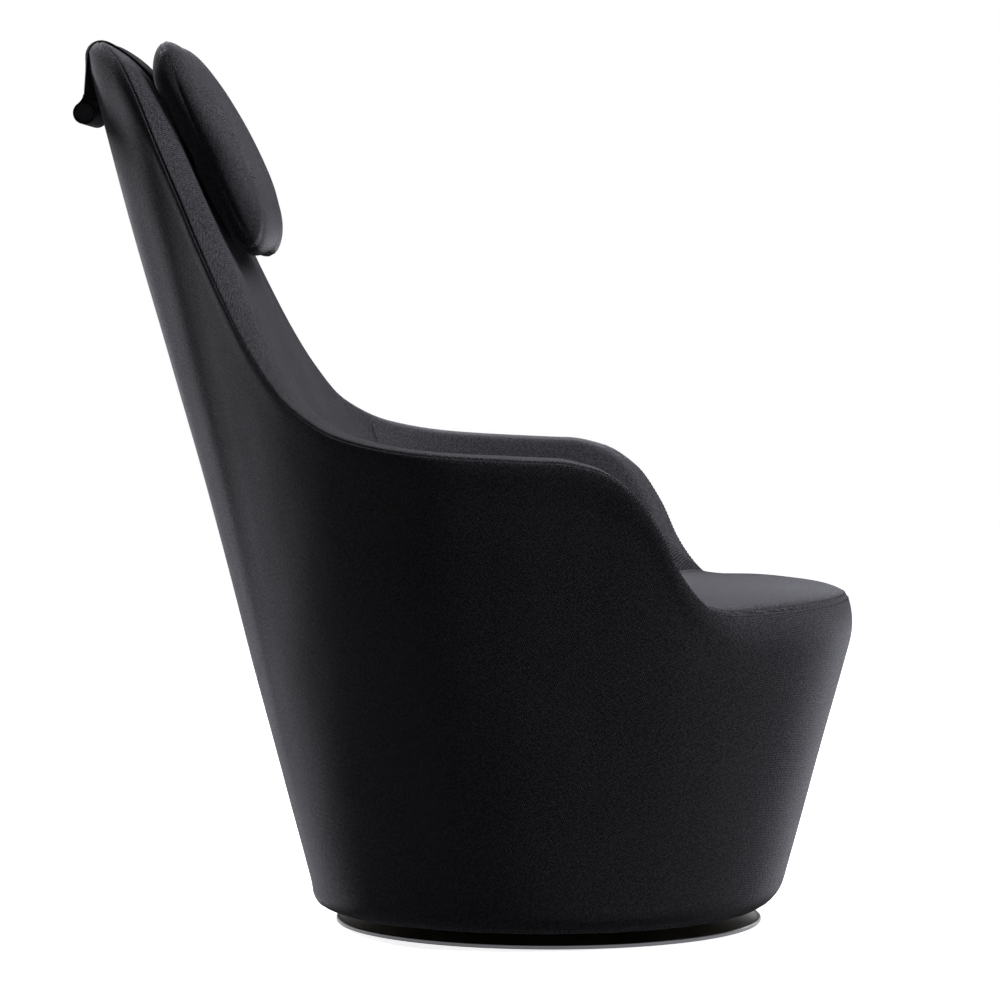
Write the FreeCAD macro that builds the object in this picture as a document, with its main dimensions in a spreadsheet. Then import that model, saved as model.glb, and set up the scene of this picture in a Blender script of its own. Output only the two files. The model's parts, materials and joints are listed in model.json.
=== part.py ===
# High back lounge chair: round swivel base, upholstered cone body, headrest with counterweight.
# Millimetres. Origin on the floor on the swivel axis, +Z up, the chair's front towards -Y.
import FreeCAD, Part
import Sketcher
import math
import os
import re

V = FreeCAD.Vector
doc = FreeCAD.newDocument("lounge_chair")

# Driving dimensions
sizes = [
    ("clearance", 0.3, "gap between curved pieces that touch"),
    ("running_gap", 0.05, "radial play of the swivel post in its bushes"),
    ("overrun", 2, "how far a cut passes a face"),
    ("base_radius", 261, "bright edge of the base plate"),
    ("base_thick", 5.5, "base plate"),
    ("base_edge", 1.2, "rounding of the plate's edge"),
    ("glide_thick", 1, "plastic ring under the plate"),
    ("glide_width", 24, "plastic ring under the plate"),
    ("glide_inset", 12, "from the plate's edge to the ring"),
    ("cover_inset", 5, "from the plate's edge to the black cover"),
    ("cover_rise", 7.5, "height of the black cover"),
    ("cover_wall", 1.5, "sheet of the black cover"),
    ("cover_hole", 36, "radius of the cover's middle hole"),
    ("flange_radius", 82, "spindle flange"),
    ("flange_thick", 5, "spindle flange"),
    ("spindle_radius", 25, "swivel post"),
    ("spindle_top", 176, "height of the swivel post above the floor"),
    ("bolt_circle", 60, "bolts of the spindle flange"),
    ("bolt_radius", 4, "bolt shank"),
    ("bolt_head_radius", 7, "countersunk bolt head"),
    ("clip_groove", 2, "depth of the groove for the retaining clip"),
    ("clip_thick", 2, "retaining clip"),
    ("clip_reach", 5, "how far the clip stands out of the post"),
    ("clip_drop", 8, "from the post's top down to the clip"),
    ("bush_wall", 3, "nylon bush"),
    ("bush_length", 28, "nylon bush"),
    ("bush_collar", 3, "thickness of the bush's collar"),
    ("housing_wall", 5, "swivel housing tube"),
    ("housing_bottom", 34, "lower end of the swivel housing"),
    ("washer_thick", 3, "thrust washer that carries the chair"),
    ("panel_thick", 8, "plywood panel that closes the underside"),
    ("panel_margin", 3, "from the hem's turned-in edge to the panel's edge"),
    ("panel_hole", 46, "radius of the panel's middle hole"),
    ("panel_screw_radius", 3, "panel screws"),
    ("panel_screw_length", 26, "panel screws"),
    ("body_bottom", 20, "underside of the upholstered body above the floor"),
    ("bottom_round", 25, "rounding at the hem"),
    ("bottom_inset", 35, "from the cone to where the hem turns under"),
    ("cone_radius", 290, "body radius just above the hem"),
    ("flare_share", 0.27066, "how fast the body widens with height"),
    ("seat_rim_height", 396, "seam round the seat's front"),
    ("arm_rise", 183, "from the seat's seam up to the arms' outer seam"),
    ("back_rise", 498, "from the arms' seam up to the top of the back"),
    ("cone_foot", "=body_bottom + bottom_round", "where the straight flank starts"),
    ("arm_height", "=seat_rim_height + arm_rise", "outer seam on the arms"),
    ("back_height", "=arm_height + back_rise", "top of the back"),
    ("back_top_radius", "=cone_radius + flare_share * (back_height - cone_foot)",
     "radius of the cone at the top of the back"),
    ("shoulder", 35, "from the outer seam down to the straight flank"),
    ("rim_width", 63, "thickness of an arm at its top"),
    ("wall_hollow", 14, "how far the back's face is dished"),
    ("seat_ring_drop", 96, "from the seat's seam down to the seat ring"),
    ("seat_ring_inset", 51, "from the flank to the middle of the seat ring's bar"),
    ("seat_ring_top", "=seat_rim_height - seat_ring_drop", "upper edge of the seat ring"),
    ("seat_ring_radius", "=cone_radius + flare_share * (seat_ring_top - cone_foot) - seat_ring_inset",
     "seat ring, to the middle of its bar"),
    ("well_inset", 97, "from the seat ring in to the well's narrowest part"),
    ("well_half_width", "=seat_ring_radius - well_inset", "inside half width at the webbing"),
    ("well_front_reach", 25, "seat core at the front, beyond the ring's middle"),
    ("well_front_radius", "=seat_ring_radius + well_front_reach", "seat core at the front"),
    ("cover_thick", 2.5, "upholstery fabric with its backing"),
    ("wrap_thick", 16, "outer foam"),
    ("pad_rim_thick", 20, "inner foam under the rim"),
    ("pad_well_thick", 38, "inner foam at the seat"),
    ("hem_gap", 2, "outer foam above the hem's rounding"),
    ("rod_radius", 6, "steel rods of the back and arms"),
    ("ring_thick", 6, "flat bars of the two rings"),
    ("ring_tall", 30, "flat bars of the two rings"),
    ("lower_ring_inset", 58, "from the flank's foot in to the middle of the lower ring's bar"),
    ("lower_ring_radius", "=cone_radius - lower_ring_inset", "lower ring, to the middle of its bar"),
    ("cross_arm_width", 40, "flat arms from the housing to the lower ring"),
    ("cross_arm_thick", 8, "flat arms from the housing to the lower ring"),
    ("arm_rod_drop", 129, "from the arms' seam down to the arm rods"),
    ("arm_rod_inset", 45.6, "from the flank to the middle of the arm rods"),
    ("arm_rod_height", "=arm_height - arm_rod_drop", "top run of the arm rods"),
    ("arm_rod_radius", "=cone_radius + flare_share * (arm_rod_height - cone_foot) - arm_rod_inset",
     "top run of the arm rods, from the axis"),
    ("back_hoop_drop", 152, "from the back's top down to the hoop"),
    ("back_hoop_inset", 40, "from the flank to the middle of the hoop's rod"),
    ("back_hoop_height", "=back_height - back_hoop_drop", "top of the back hoop"),
    ("back_hoop_depth", "=back_top_radius - flare_share * back_hoop_drop - back_hoop_inset",
     "top of the back hoop, behind the axis"),
    ("back_hoop_half_width", 58, "half width of the back hoop at its top"),
    ("back_foot_half_width", 150, "half width of the back hoop on the seat ring"),
    ("webbing_width", 50, "seat straps"),
    ("webbing_thick", 2.2, "seat straps"),
    ("seat_core_drop", 12, "from the seat's seam down to the firm foam's top"),
    ("seat_crown_rise", 37, "thickness of the soft seat foam with its cover"),
    ("seat_core_top", "=seat_rim_height - seat_core_drop", "top of the firm seat foam"),
    ("seat_crown_height", "=seat_core_top + seat_crown_rise", "top of the soft seat foam"),
    ("seat_front_reach", 55, "seat cover at the front, beyond the ring's middle"),
    ("seat_front_radius", "=seat_ring_radius + seat_front_reach", "seat cover at the front"),
    ("seat_step", 2.5, "clear space between the seat and the walls"),
    ("rest_height", 286, "headrest, along its slope"),
    ("rest_half_width", 152, "headrest"),
    ("rest_thick", 77, "headrest at its fullest"),
    ("rest_drop", 134.5, "from the back's top down to the headrest's middle"),
    ("rest_reach", 183.3, "from the cone at the back's top forward to the headrest's middle"),
    ("rest_centre_height", "=back_height - rest_drop", "middle of the headrest"),
    ("rest_centre_depth", "=back_top_radius - rest_reach", "middle of the headrest, behind the axis"),
    ("rest_cover_thick", 2, "headrest fabric"),
    ("strap_width", 124, "strap over the back's top"),
    ("strap_thick", 2.2, "strap over the back's top"),
    ("strap_gap", 2, "strap above the cover that it slides on"),
    ("strap_rear_inset", 5.7, "from the cone at the back's top in to the hanging strap"),
    ("strap_rear_drop", 27, "from the back's top down to where the strap hangs free"),
    ("strap_rear_depth", "=back_top_radius - strap_rear_inset", "strap behind the back"),
    ("strap_rear_end", "=back_height - strap_rear_drop", "where the hanging stretch starts"),
    ("roll_radius", 13.7, "counterweight roll with its fabric"),
    ("roll_drop", 89, "from the back's top down to the counterweight roll"),
    ("roll_height", "=back_height - roll_drop", "middle of the counterweight roll"),
    ("roll_wall", 2.2, "fabric sleeve of the roll"),
    ("roll_disc_inset", 2, "end disc, from the sleeve's end"),
    ("roll_disc_thick", 3, "end disc"),
]
sheet = doc.addObject("Spreadsheet::Sheet", "sizes")
for row, (alias, value, note) in enumerate(sizes, start=1):
    sheet.set(f"A{row}", alias)
    sheet.set(f"B{row}", str(value))
    sheet.set(f"C{row}", note)
    sheet.setAlias(f"B{row}", alias)
doc.recompute()


def size(alias):
    return float(getattr(sheet, alias))


# The body's section at angles from the rear, in degrees. Each row holds, as shares:
# the seam's height (of the arm's rise, then of the back's), the seam's and the shoulder's radius
# (of the cone), the shoulder's swell, the rim's width, drop and swell (of the rim's width),
# the dish of the inner wall, and the inner wall's foot (of the well's half width).
bodyShares = [
    (0, 1, 1.000, 0.956, 0.993, 0.28, 1.03, 0.78, 0.15, 1.0, 0.54),
    (7, 1, 0.990, 0.950, 0.985, 0.25, 1.00, 0.85, 0.15, 0.9, 0.54),
    (13, 1, 0.948, 0.935, 0.960, 0.16, 0.95, 1.05, 0.18, 0.5, 0.56),
    (17, 1, 0.868, 0.929, 0.943, 0.08, 0.99, 1.32, 0.20, 0.3, 0.57),
    (20, 1, 0.749, 0.9235, 0.927, 0.05, 1.18, 1.56, 0.22, 0.3, 0.58),
    (24, 1, 0.598, 0.914, 0.917, 0.04, 1.34, 1.58, 0.24, 0.3, 0.59),
    (29, 1, 0.430, 0.911, 0.914, 0.04, 1.30, 1.16, 0.22, 0.3, 0.62),
    (36, 1, 0.260, 0.915, 0.919, 0.04, 1.12, 0.54, 0.18, 0.3, 0.67),
    (45, 1, 0.134, 0.928, 0.932, 0.04, 0.86, 0.20, 0.14, 0.3, 0.74),
    (57, 1, 0.052, 0.953, 0.955, 0.04, 0.83, 0.07, 0.12, 0.3, 0.85),
    (70, 1, 0.014, 0.966, 0.968, 0.04, 0.93, 0.02, 0.12, 0.3, 0.96),
    (82, 1, 0.000, 0.945, 0.948, 0.04, 0.98, 0.00, 0.12, 0.2, 1.00),
    (92, 0.994, 0, 0.938, 0.941, 0.04, 0.98, 0.00, 0.12, 0.2, 1.00),
    (99, 0.932, 0, 0.945, 0.948, 0.04, 0.95, -0.02, 0.12, 0.2, 1.01),
    (105, 0.785, 0, 0.964, 0.966, 0.04, 0.93, -0.04, 0.13, 0.2, 1.03),
    (110, 0.530, 0, 0.981, 0.983, 0.04, 0.90, -0.06, 0.15, 0.2, 1.05),
    (114, 0.285, 0, 0.992, 0.993, 0.04, 0.88, -0.05, 0.16, 0.2, 1.09),
    (118, 0.105, 0, 0.995, 0.997, 0.04, 0.88, -0.03, 0.15, 0.2, 1.12),
    (121, 0.030, 0, 0.990, 0.996, 0.05, 0.88, 0.00, 0.13, 0.2, 1.15),
    (130, 0, 0, 0.969, 0.988, 0.06, 0.88, 0.05, 0.12, 0.2, 1.20),
    (142, 0, 0, 0.957, 0.986, 0.08, 0.88, 0.05, 0.12, 0.2, 1.20),
    (155, 0, 0, 0.956, 0.988, 0.10, 0.88, 0.05, 0.12, 0.2, 1.20),
    (168, 0, 0, 0.958, 0.989, 0.10, 0.88, 0.05, 0.12, 0.2, 1.20),
    (180, 0, 0, 0.959, 0.989, 0.10, 0.88, 0.05, 0.12, 0.2, 1.20),
]
armEndAngle = 121
fullTurn = 360
halfTurn = 180


def coneRadius(z):
    return size("cone_radius") + size("flare_share") * (z - size("cone_foot"))


def along(a, b, share):
    return (a[0] + (b[0] - a[0]) * share, a[1] + (b[1] - a[1]) * share)


def bulged(a, b, swell):
    # Middle of an arc from a to b that stands swell to the left of the way from a to b.
    dx, dz = b[0] - a[0], b[1] - a[1]
    length = math.hypot(dx, dz)
    mid = along(a, b, 1 / 2)
    return (mid[0] - dz / length * swell, mid[1] + dx / length * swell)


def profile(row):
    # Section as (radius, height) points: hem, hem arc, flank foot, shoulder, shoulder arc,
    # seam, rim arc, inner crest, wall arc, wall foot.
    rim = size("rim_width")
    _, arm, back, seamShare, flankShare, swell, width, drop, rimSwell, dish, footShare = row
    seamZ = size("seat_rim_height") + arm * (size("arm_height") - size("seat_rim_height"))
    seamZ += back * (size("back_height") - size("arm_height"))
    seam = (seamShare * coneRadius(seamZ), seamZ)
    shoulderZ = seamZ - size("shoulder")
    shoulder = (flankShare * coneRadius(shoulderZ), shoulderZ)
    flank = (size("cone_radius"), size("cone_foot"))
    hem = (size("cone_radius") - size("bottom_inset"), size("body_bottom"))
    crest = (seam[0] - width * rim, seam[1] - drop * rim)
    foot = (footShare * size("well_half_width"), wellFloor())
    return [
        hem,
        bulged(flank, hem, -size("bottom_round") / 5),
        flank,
        shoulder,
        bulged(shoulder, seam, -swell * size("shoulder")),
        seam,
        bulged(seam, crest, -rimSwell * rim),
        crest,
        bulged(crest, foot, dish * size("wall_hollow")),
        foot,
    ]


def wellFloor():
    return webbingTop() + size("clearance")


def webbingTop():
    return size("seat_ring_top") + size("webbing_thick")


def inset(points, depth):
    # The same points moved square to the section's line, into the body.
    moved = []
    for i, (r, z) in enumerate(points):
        before = points[max(i - 1, 0)]
        after = points[min(i + 1, len(points) - 1)]
        dr, dz = after[0] - before[0], after[1] - before[1]
        length = math.hypot(dr, dz)
        moved.append((r - dz / length * depth, z + dr / length * depth))
    return moved


def atHeight(a, b, z):
    return (a[0] + (b[0] - a[0]) * (z - a[1]) / (b[1] - a[1]), z)


def inPlane(point, angle):
    turn = math.radians(angle)
    return V(point[0] * math.sin(turn), point[0] * math.cos(turn), point[1])


def line(a, b):
    return Part.LineSegment(a, b).toShape()


def arc(a, mid, b):
    return Part.Arc(a, mid, b).toShape()


def sectionWire(pieces, angle):
    # pieces: points of a closed outline, a line to each, or an arc where a middle point is given
    edges = []
    first = inPlane(pieces[0][-1], angle)
    last = first
    for piece in pieces[1:] + [pieces[0][-1:]]:
        target = inPlane(piece[-1], angle)
        if len(piece) == 2:
            edges.append(arc(last, inPlane(piece[0], angle), target))
        else:
            edges.append(line(last, target))
        last = target
    return Part.Wire(edges)


def stations(limit=halfTurn, stride=1):
    # Rows right round the body, or from one arm's end over the back to the other's.
    rows = [row for row in bodyShares if row[0] <= limit][::stride]
    left = [(-row[0], row) for row in reversed(rows) if row[0] not in (0, halfTurn)]
    return left + [(row[0], row) for row in rows]


def loftRound(outline, limit=halfTurn):
    wires = [sectionWire(outline(row), angle) for angle, row in stations(limit)]
    shape = Part.makeLoft(wires, True, True, limit == halfTurn)
    if shape.Volume < 0:
        shape.reverse()
    return shape


def feature(name, shape):
    item = doc.addObject("Part::Feature", name)
    item.Label = name
    item.Shape = shape
    return item


# Upholstery: each layer is lofted through sections round the swivel axis.
def outerCoverOutline(row):
    out = profile(row)
    back = inset(out, size("cover_thick"))
    return [(out[0],), (out[1], out[2]), (out[3],), (out[4], out[5]),
            (back[5],), (back[4],), (back[3],), (back[2],), (back[1],), (back[0],)]


def innerCoverOutline(row):
    out = profile(row)
    back = inset(out, size("cover_thick"))
    foot = atHeight(back[8], back[9], wellFloor())
    return [(out[5],), (out[6], out[7]), (out[8],), (out[9],),
            (foot,), (back[8],), (back[7],), (back[6],), (back[5],)]


def wrapOutline(row):
    out = inset(profile(row), size("cover_thick") + size("clearance"))
    back = inset(profile(row), size("cover_thick") + size("wrap_thick"))
    low = size("cone_foot") + size("hem_gap")
    high = out[3][1] - size("hem_gap")
    return [(atHeight(out[2], out[3], low),), (atHeight(out[2], out[3], high),),
            (atHeight(back[2], back[3], high),), (atHeight(back[2], back[3], low),)]


def padOutline(row):
    out = inset(profile(row), size("cover_thick") + size("clearance"))
    back = inset(profile(row), size("cover_thick") + size("wrap_thick"))
    floor = wellFloor() + size("clearance")
    foot = atHeight(out[8], out[9], floor)
    rear = (foot[0] + size("pad_well_thick"), floor)
    return [(out[3],), (out[4],), (out[5],), (out[6],), (out[7],), (out[8],), (foot,),
            (rear,), (back[3],)]


def seatWallRadius(row, z):
    # The clear radius of the seat's well at a height.
    out = profile(row)
    wall = atHeight(out[7], out[9], z) if z > out[9][1] else out[9]
    return wall[0] - size("seat_step") - size("clearance")


def onPlan(radius, angle, z):
    turn = math.radians(angle)
    return V(radius * math.sin(turn), radius * math.cos(turn), z)


def seatOutline(z, wallZ, frontRadius, drawnIn):
    # Plan outline: arcs along the back and the arms' walls, then arcs round the front.
    rows = stations(armEndAngle, 2)
    walls = [onPlan(seatWallRadius(row, wallZ) - drawnIn, angle, z) for angle, row in rows]
    corner = armEndAngle + seatFrontTurn
    step = (halfTurn - corner) / 2
    fronts = [onPlan(frontRadius - drawnIn, corner + step * k, z) for k in range(5)]
    edges = [arc(walls[i], walls[i + 1], walls[i + 2]) for i in range(0, len(walls) - 1, 2)]
    edges.append(line(walls[-1], fronts[0]))
    edges += [arc(fronts[i], fronts[i + 1], fronts[i + 2]) for i in (0, 2)]
    edges.append(line(fronts[-1], walls[0]))
    return Part.Wire(edges)


seatFrontTurn = 1.5
# Height and draw-in of the seat's crown, as shares of its rise and of the front radius.
crownShares = [(0, 0), (0.3, 0), (0.6, 0.02), (0.85, 0.09), (1, 0.26)]


def seatCrown(lowest, drawnIn):
    rise = size("seat_crown_height") - size("seat_core_top") - drawnIn
    front = size("seat_front_radius")
    wires = []
    for heightShare, inShare in crownShares:
        top = size("seat_core_top") + rise * heightShare
        z = max(top, lowest) if heightShare else lowest
        wires.append(seatOutline(z, size("seat_core_top"), front, drawnIn + inShare * front))
    return Part.makeLoft(wires, True, True)


def rod(points, radius, bends):
    # Round rod: straight lengths and bends, one bend radius for each inner point.
    def cutEnd(centre, way):
        return Part.Face(Part.Wire(Part.makeCircle(radius, centre, way)))

    lengths = []
    start = points[0]
    for i in range(1, len(points) - 1):
        before = (points[i] - points[i - 1]).normalize()
        after = (points[i + 1] - points[i]).normalize()
        turn = before.getAngle(after)
        back = bends[i - 1] * math.tan(turn / 2)
        first = points[i] - before * back
        hinge = before.cross(after).normalize()
        centre = first + hinge.cross(before) * bends[i - 1]
        lengths.append(cutEnd(start, before).extrude(first - start))
        lengths.append(cutEnd(first, before).revolve(centre, hinge, math.degrees(turn)))
        start = points[i] + after * back
    lengths.append(cutEnd(start, after).extrude(points[-1] - start))
    return lengths[0].multiFuse(lengths[1:])


feature("outer_cover", loftRound(outerCoverOutline))
feature("outer_foam", loftRound(wrapOutline))
feature("inner_cover", loftRound(innerCoverOutline, armEndAngle))
feature("inner_foam", loftRound(padOutline, armEndAngle))
coreOutlines = [seatOutline(z, z, size("well_front_radius"), 0)
                for z in (wellFloor(), size("seat_core_top"))]
feature("seat_core", Part.makeLoft(coreOutlines, True, True))
coverLift = size("cover_thick") + size("clearance")
topperLow = size("seat_core_top") + size("clearance")
feature("seat_topper", seatCrown(topperLow, coverLift))
seatSkin = seatCrown(topperLow, 0).cut(seatCrown(topperLow - size("overrun"), size("cover_thick")))
feature("seat_cover", seatSkin)


# Turned pieces: an outline of corners in the sheet's words, turned about the swivel axis.
def bound(words):
    return re.sub(r"[a-z_]{4,}", lambda found: "sizes." + found.group(0), words)


def outlineSketch(body, name, corners, role):
    sketch = body.newObject("Sketcher::SketchObject", name + "_outline")
    plane = next(item for item in body.Origin.OriginFeatures if item.Role == role)
    sketch.AttachmentSupport = (plane, [""])
    sketch.MapMode = "FlatFace"
    places = [[float(sheet.evalExpression(bound(words))) for words in corner] for corner in corners]
    for i, (x, y) in enumerate(places):
        nextX, nextY = places[(i + 1) % len(places)]
        sketch.addGeometry(Part.LineSegment(V(x, y, 0), V(nextX, nextY, 0)))
    for i, corner in enumerate(corners):
        following = (i + 1) % len(corners)
        sketch.addConstraint(Sketcher.Constraint("Coincident", i, 2, following, 1))
        for kind, words, place in zip(("DistanceX", "DistanceY"), corner, places[i]):
            index = sketch.addConstraint(Sketcher.Constraint(kind, -1, 1, i, 1, place))
            sketch.setExpression(f"Constraints[{index}]", bound(words))
    return sketch


def turned(name, corners):
    body = doc.addObject("PartDesign::Body", name)
    body.Label = name
    sketch = outlineSketch(body, name, corners, "XZ_Plane")
    turn = body.newObject("PartDesign::Revolution", name + "_turn")
    turn.Profile = sketch
    turn.ReferenceAxis = (sketch, ["V_Axis"])
    turn.Angle = fullTurn
    sketch.Visibility = False
    return body


def ringCorners(inner, outer, low, high):
    return [(inner, low), (outer, low), (outer, high), (inner, high)]


plateTop = "glide_thick + base_thick"
flangeTop = plateTop + " + flange_thick"
clipLow = "spindle_top - clip_drop - clip_thick"
shoulderTop = "housing_bottom - bush_collar - running_gap - washer_thick"
housingInner = "spindle_radius + bush_wall"
housingOuter = housingInner + " + housing_wall"
housingTop = clipLow + " - running_gap - bush_collar"
panelBase = "body_bottom + cover_thick"
panelTop = panelBase + " + panel_thick"

turned("floor_glide", ringCorners("base_radius - glide_inset - glide_width",
                                  "base_radius - glide_inset", "0", "glide_thick"))
turned("base_cover", [
    ("base_radius - cover_inset", plateTop),
    ("flange_radius", plateTop + " + cover_rise"),
    ("cover_hole", plateTop + " + cover_rise"),
    ("cover_hole", plateTop + " + cover_rise - cover_wall"),
    ("flange_radius", plateTop + " + cover_rise - cover_wall"),
    ("base_radius - cover_inset - cover_rise", plateTop),
])
turned("lower_bush", [
    ("spindle_radius + running_gap", "housing_bottom - bush_collar"),
    (housingOuter, "housing_bottom - bush_collar"),
    (housingOuter, "housing_bottom"),
    (housingInner, "housing_bottom"),
    (housingInner, "housing_bottom + bush_length"),
    ("spindle_radius + running_gap", "housing_bottom + bush_length"),
])
turned("upper_bush", [
    ("spindle_radius + running_gap", housingTop + " - bush_length"),
    (housingInner, housingTop + " - bush_length"),
    (housingInner, housingTop),
    (housingOuter, housingTop),
    (housingOuter, housingTop + " + bush_collar"),
    ("spindle_radius + running_gap", housingTop + " + bush_collar"),
])
turned("swivel_housing", ringCorners(housingInner, housingOuter, "housing_bottom", housingTop))
turned("bottom_panel", ringCorners("panel_hole", "cone_radius - bottom_inset - panel_margin",
                                   panelBase, panelTop))


turned("thrust_washer", ringCorners("spindle_radius + clearance", housingOuter,
                                    shoulderTop, shoulderTop + " + washer_thick"))
turned("retaining_clip", ringCorners("spindle_radius - clip_groove", "spindle_radius + clip_reach",
                                     clipLow, clipLow + " + clip_thick"))


def cylinder(name, radius, height, x, y, z):
    item = doc.addObject("Part::Cylinder", name)
    item.setExpression("Radius", bound(radius))
    item.setExpression("Height", bound(height))
    item.setExpression("Placement.Base.x", bound(x))
    item.setExpression("Placement.Base.y", bound(y))
    item.setExpression("Placement.Base.z", bound(z))
    return item


def round4(name, radius, height, circle, low, first=45, count=4):
    # Equal cylinders on a circle round the swivel axis, as one object.
    pins = []
    for k in range(count):
        angle = first + fullTurn * k / count
        pins.append(cylinder(f"{name}_{k + 1}", radius, height,
                             f"({circle}) * cos({angle})", f"({circle}) * sin({angle})", low))
    group = doc.addObject("Part::MultiFuse", name)
    group.Shapes = pins
    return group


def cut(name, base, tool):
    item = doc.addObject("Part::Cut", name)
    item.Base = base
    item.Tool = tool
    item.Label = name
    return item


def fuse(name, parts):
    item = doc.addObject("Part::MultiFuse", name)
    item.Shapes = parts
    item.Label = name
    return item


# Base plate with its countersunk holes, the spindle on it and the four bolts.
plateBlank = turned("base_plate_blank", [
    ("0", "glide_thick"),
    ("base_radius - base_edge", "glide_thick"),
    ("base_radius", "glide_thick + base_edge"),
    ("base_radius", plateTop + " - base_edge"),
    ("base_radius - base_edge", plateTop),
    ("0", plateTop),
])
boltShanks = round4("bolt_shanks", "bolt_radius", "base_thick + flange_thick",
                    "bolt_circle", "glide_thick")
boltHeads = round4("bolt_heads", "bolt_head_radius", "base_thick / 2", "bolt_circle", "glide_thick")
cut("base_plate", plateBlank, fuse("plate_holes", [boltShanks, boltHeads]))
spindleBlank = turned("spindle_blank", [
    ("0", plateTop),
    ("flange_radius - clearance", plateTop),
    ("flange_radius - clearance", flangeTop),
    (housingOuter, flangeTop),
    (housingOuter, shoulderTop),
    ("spindle_radius", shoulderTop),
    ("spindle_radius", clipLow),
    ("spindle_radius - clip_groove", clipLow),
    ("spindle_radius - clip_groove", clipLow + " + clip_thick"),
    ("spindle_radius", clipLow + " + clip_thick"),
    ("spindle_radius", "spindle_top"),
    ("0", "spindle_top"),
])
spindleHoles = round4("spindle_holes", "bolt_radius", "base_thick + flange_thick",
                      "bolt_circle", "glide_thick")
cut("spindle", spindleBlank, spindleHoles)
fuse("spindle_bolts", [
    round4("bolt_stems", "bolt_radius", "base_thick + flange_thick", "bolt_circle", "glide_thick"),
    round4("bolt_caps", "bolt_head_radius", "base_thick / 2", "bolt_circle", "glide_thick"),
])

# Welded steel frame: two rings, flat arms to the housing, posts, arm rods and the back's hoop.
lowerRing = turned("lower_ring", ringCorners("lower_ring_radius - ring_thick / 2",
                                             "lower_ring_radius + ring_thick / 2",
                                             panelTop, panelTop + " + ring_tall"))
seatRing = turned("seat_ring", ringCorners("seat_ring_radius - ring_thick / 2",
                                           "seat_ring_radius + ring_thick / 2",
                                           "seat_ring_top - ring_tall", "seat_ring_top"))
doc.recompute()
crossArms = []
armCount = 4
for k in range(armCount):
    angle = fullTurn / armCount * (k + 1 / 2)
    reach = size("lower_ring_radius")
    wide = size("cross_arm_width")
    arm = Part.makeBox(reach, wide, size("cross_arm_thick"), V(0, -wide / 2, 0))
    arm.translate(V(0, 0, lowerRing.Shape.BoundBox.ZMax - size("cross_arm_thick")))
    arm.rotate(V(), V(0, 0, 1), angle)
    crossArms.append(arm)
housingRadius = size("spindle_radius") + size("bush_wall") + size("housing_wall")
core = Part.makeCylinder(housingRadius, size("spindle_top"))
arms = Part.makeCompound([arm.cut(core).cut(lowerRing.Shape) for arm in crossArms])
feature("cross_arms", arms)


def between(a, b, radius, stops):
    # Straight rod from a to b, its ends shaped to the rings that it meets.
    way = b - a
    piece = Part.makeCylinder(radius, way.Length, a, way)
    for stop in stops:
        piece = piece.cut(stop)
    return max(piece.Solids, key=lambda solid: solid.Volume)


posts = []
postCount = 6
for k in range(postCount):
    angle = fullTurn / postCount * (k + 1 / 2)
    foot = onPlan(size("lower_ring_radius"), angle, lowerRing.Shape.BoundBox.ZMax)
    head = onPlan(size("seat_ring_radius"), angle, seatRing.Shape.BoundBox.ZMin)
    posts.append(between(foot, head, size("rod_radius"), [lowerRing.Shape, seatRing.Shape]))
feature("frame_posts", Part.makeCompound(posts))

bend = 7.5 * size("rod_radius")


def footed(name, points, bends):
    # Bent rod that stands on the seat ring at both ends.
    whole = rod(points, size("rod_radius"), bends)
    belowRing = Part.makeCylinder(size("arm_rod_radius"), size("seat_ring_top"))
    return feature(name, whole.cut(belowRing))


armFrontAngle = 106
armRearAngle = 62
armFrontShare = 1.01
armMiddleShare = 0.98
for side, name in ((1, "left_arm_rod"), (-1, "right_arm_rod")):
    high = size("arm_rod_height")
    wide = size("arm_rod_radius")
    ringZ = size("seat_ring_top") - size("rod_radius")
    points = [onPlan(size("seat_ring_radius"), side * armFrontAngle, ringZ),
              onPlan(wide * armFrontShare, side * armFrontAngle, high),
              onPlan(wide * armMiddleShare, side * (armFrontAngle + armRearAngle) / 2, high),
              onPlan(wide, side * armRearAngle, high),
              onPlan(size("seat_ring_radius"), side * armRearAngle, ringZ)]
    footed(name, points, [bend, 3 * bend, bend])

footWide = size("back_foot_half_width")
footDeep = math.sqrt(size("seat_ring_radius") ** 2 - footWide ** 2)
topWide = size("back_hoop_half_width")
topDeep = size("back_hoop_depth")
topZ = size("back_hoop_height")
hoopFoot = size("seat_ring_top") - size("rod_radius")
points = [V(footWide, footDeep, hoopFoot), V(topWide, topDeep, topZ),
          V(-topWide, topDeep, topZ), V(-footWide, footDeep, hoopFoot)]
backHoop = footed("back_hoop", points, [bend, bend])

# Cross bars of the back's hoop, shaped to its uprights.
barShares = (0.3, 0.62)
bars = []
for share in barShares:
    left = points[0] + (points[1] - points[0]) * share
    right = points[3] + (points[2] - points[3]) * share
    bars.append(between(left, right, size("rod_radius") * 3 / 4, [backHoop.Shape]))
feature("back_bars", Part.makeCompound(bars))

# Seat straps on the ring.
straps = []
strapSpacingShare = 0.3
for k in range(-2, 3):
    y = k * size("seat_ring_radius") * strapSpacingShare
    half = math.sqrt(size("seat_ring_radius") ** 2 - (abs(y) + size("webbing_width") / 2) ** 2)
    strap = Part.makeBox(2 * half, size("webbing_width"), size("webbing_thick"),
                         V(-half, y - size("webbing_width") / 2, 0))
    strap.translate(V(0, 0, size("seat_ring_top")))
    straps.append(strap)
feature("seat_straps", Part.makeCompound(straps))


# Headrest: a cushion lofted across the chair from arcs, in its own slope's directions.
restTilt = 26


def restPoint(x, up, out):
    # up runs along the headrest's height and out towards the sitter's head
    tilt = math.radians(restTilt)
    y = size("rest_centre_depth") + up * math.sin(tilt) - out * math.cos(tilt)
    z = size("rest_centre_height") + up * math.cos(tilt) + out * math.sin(tilt)
    return V(x, y, z)


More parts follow.
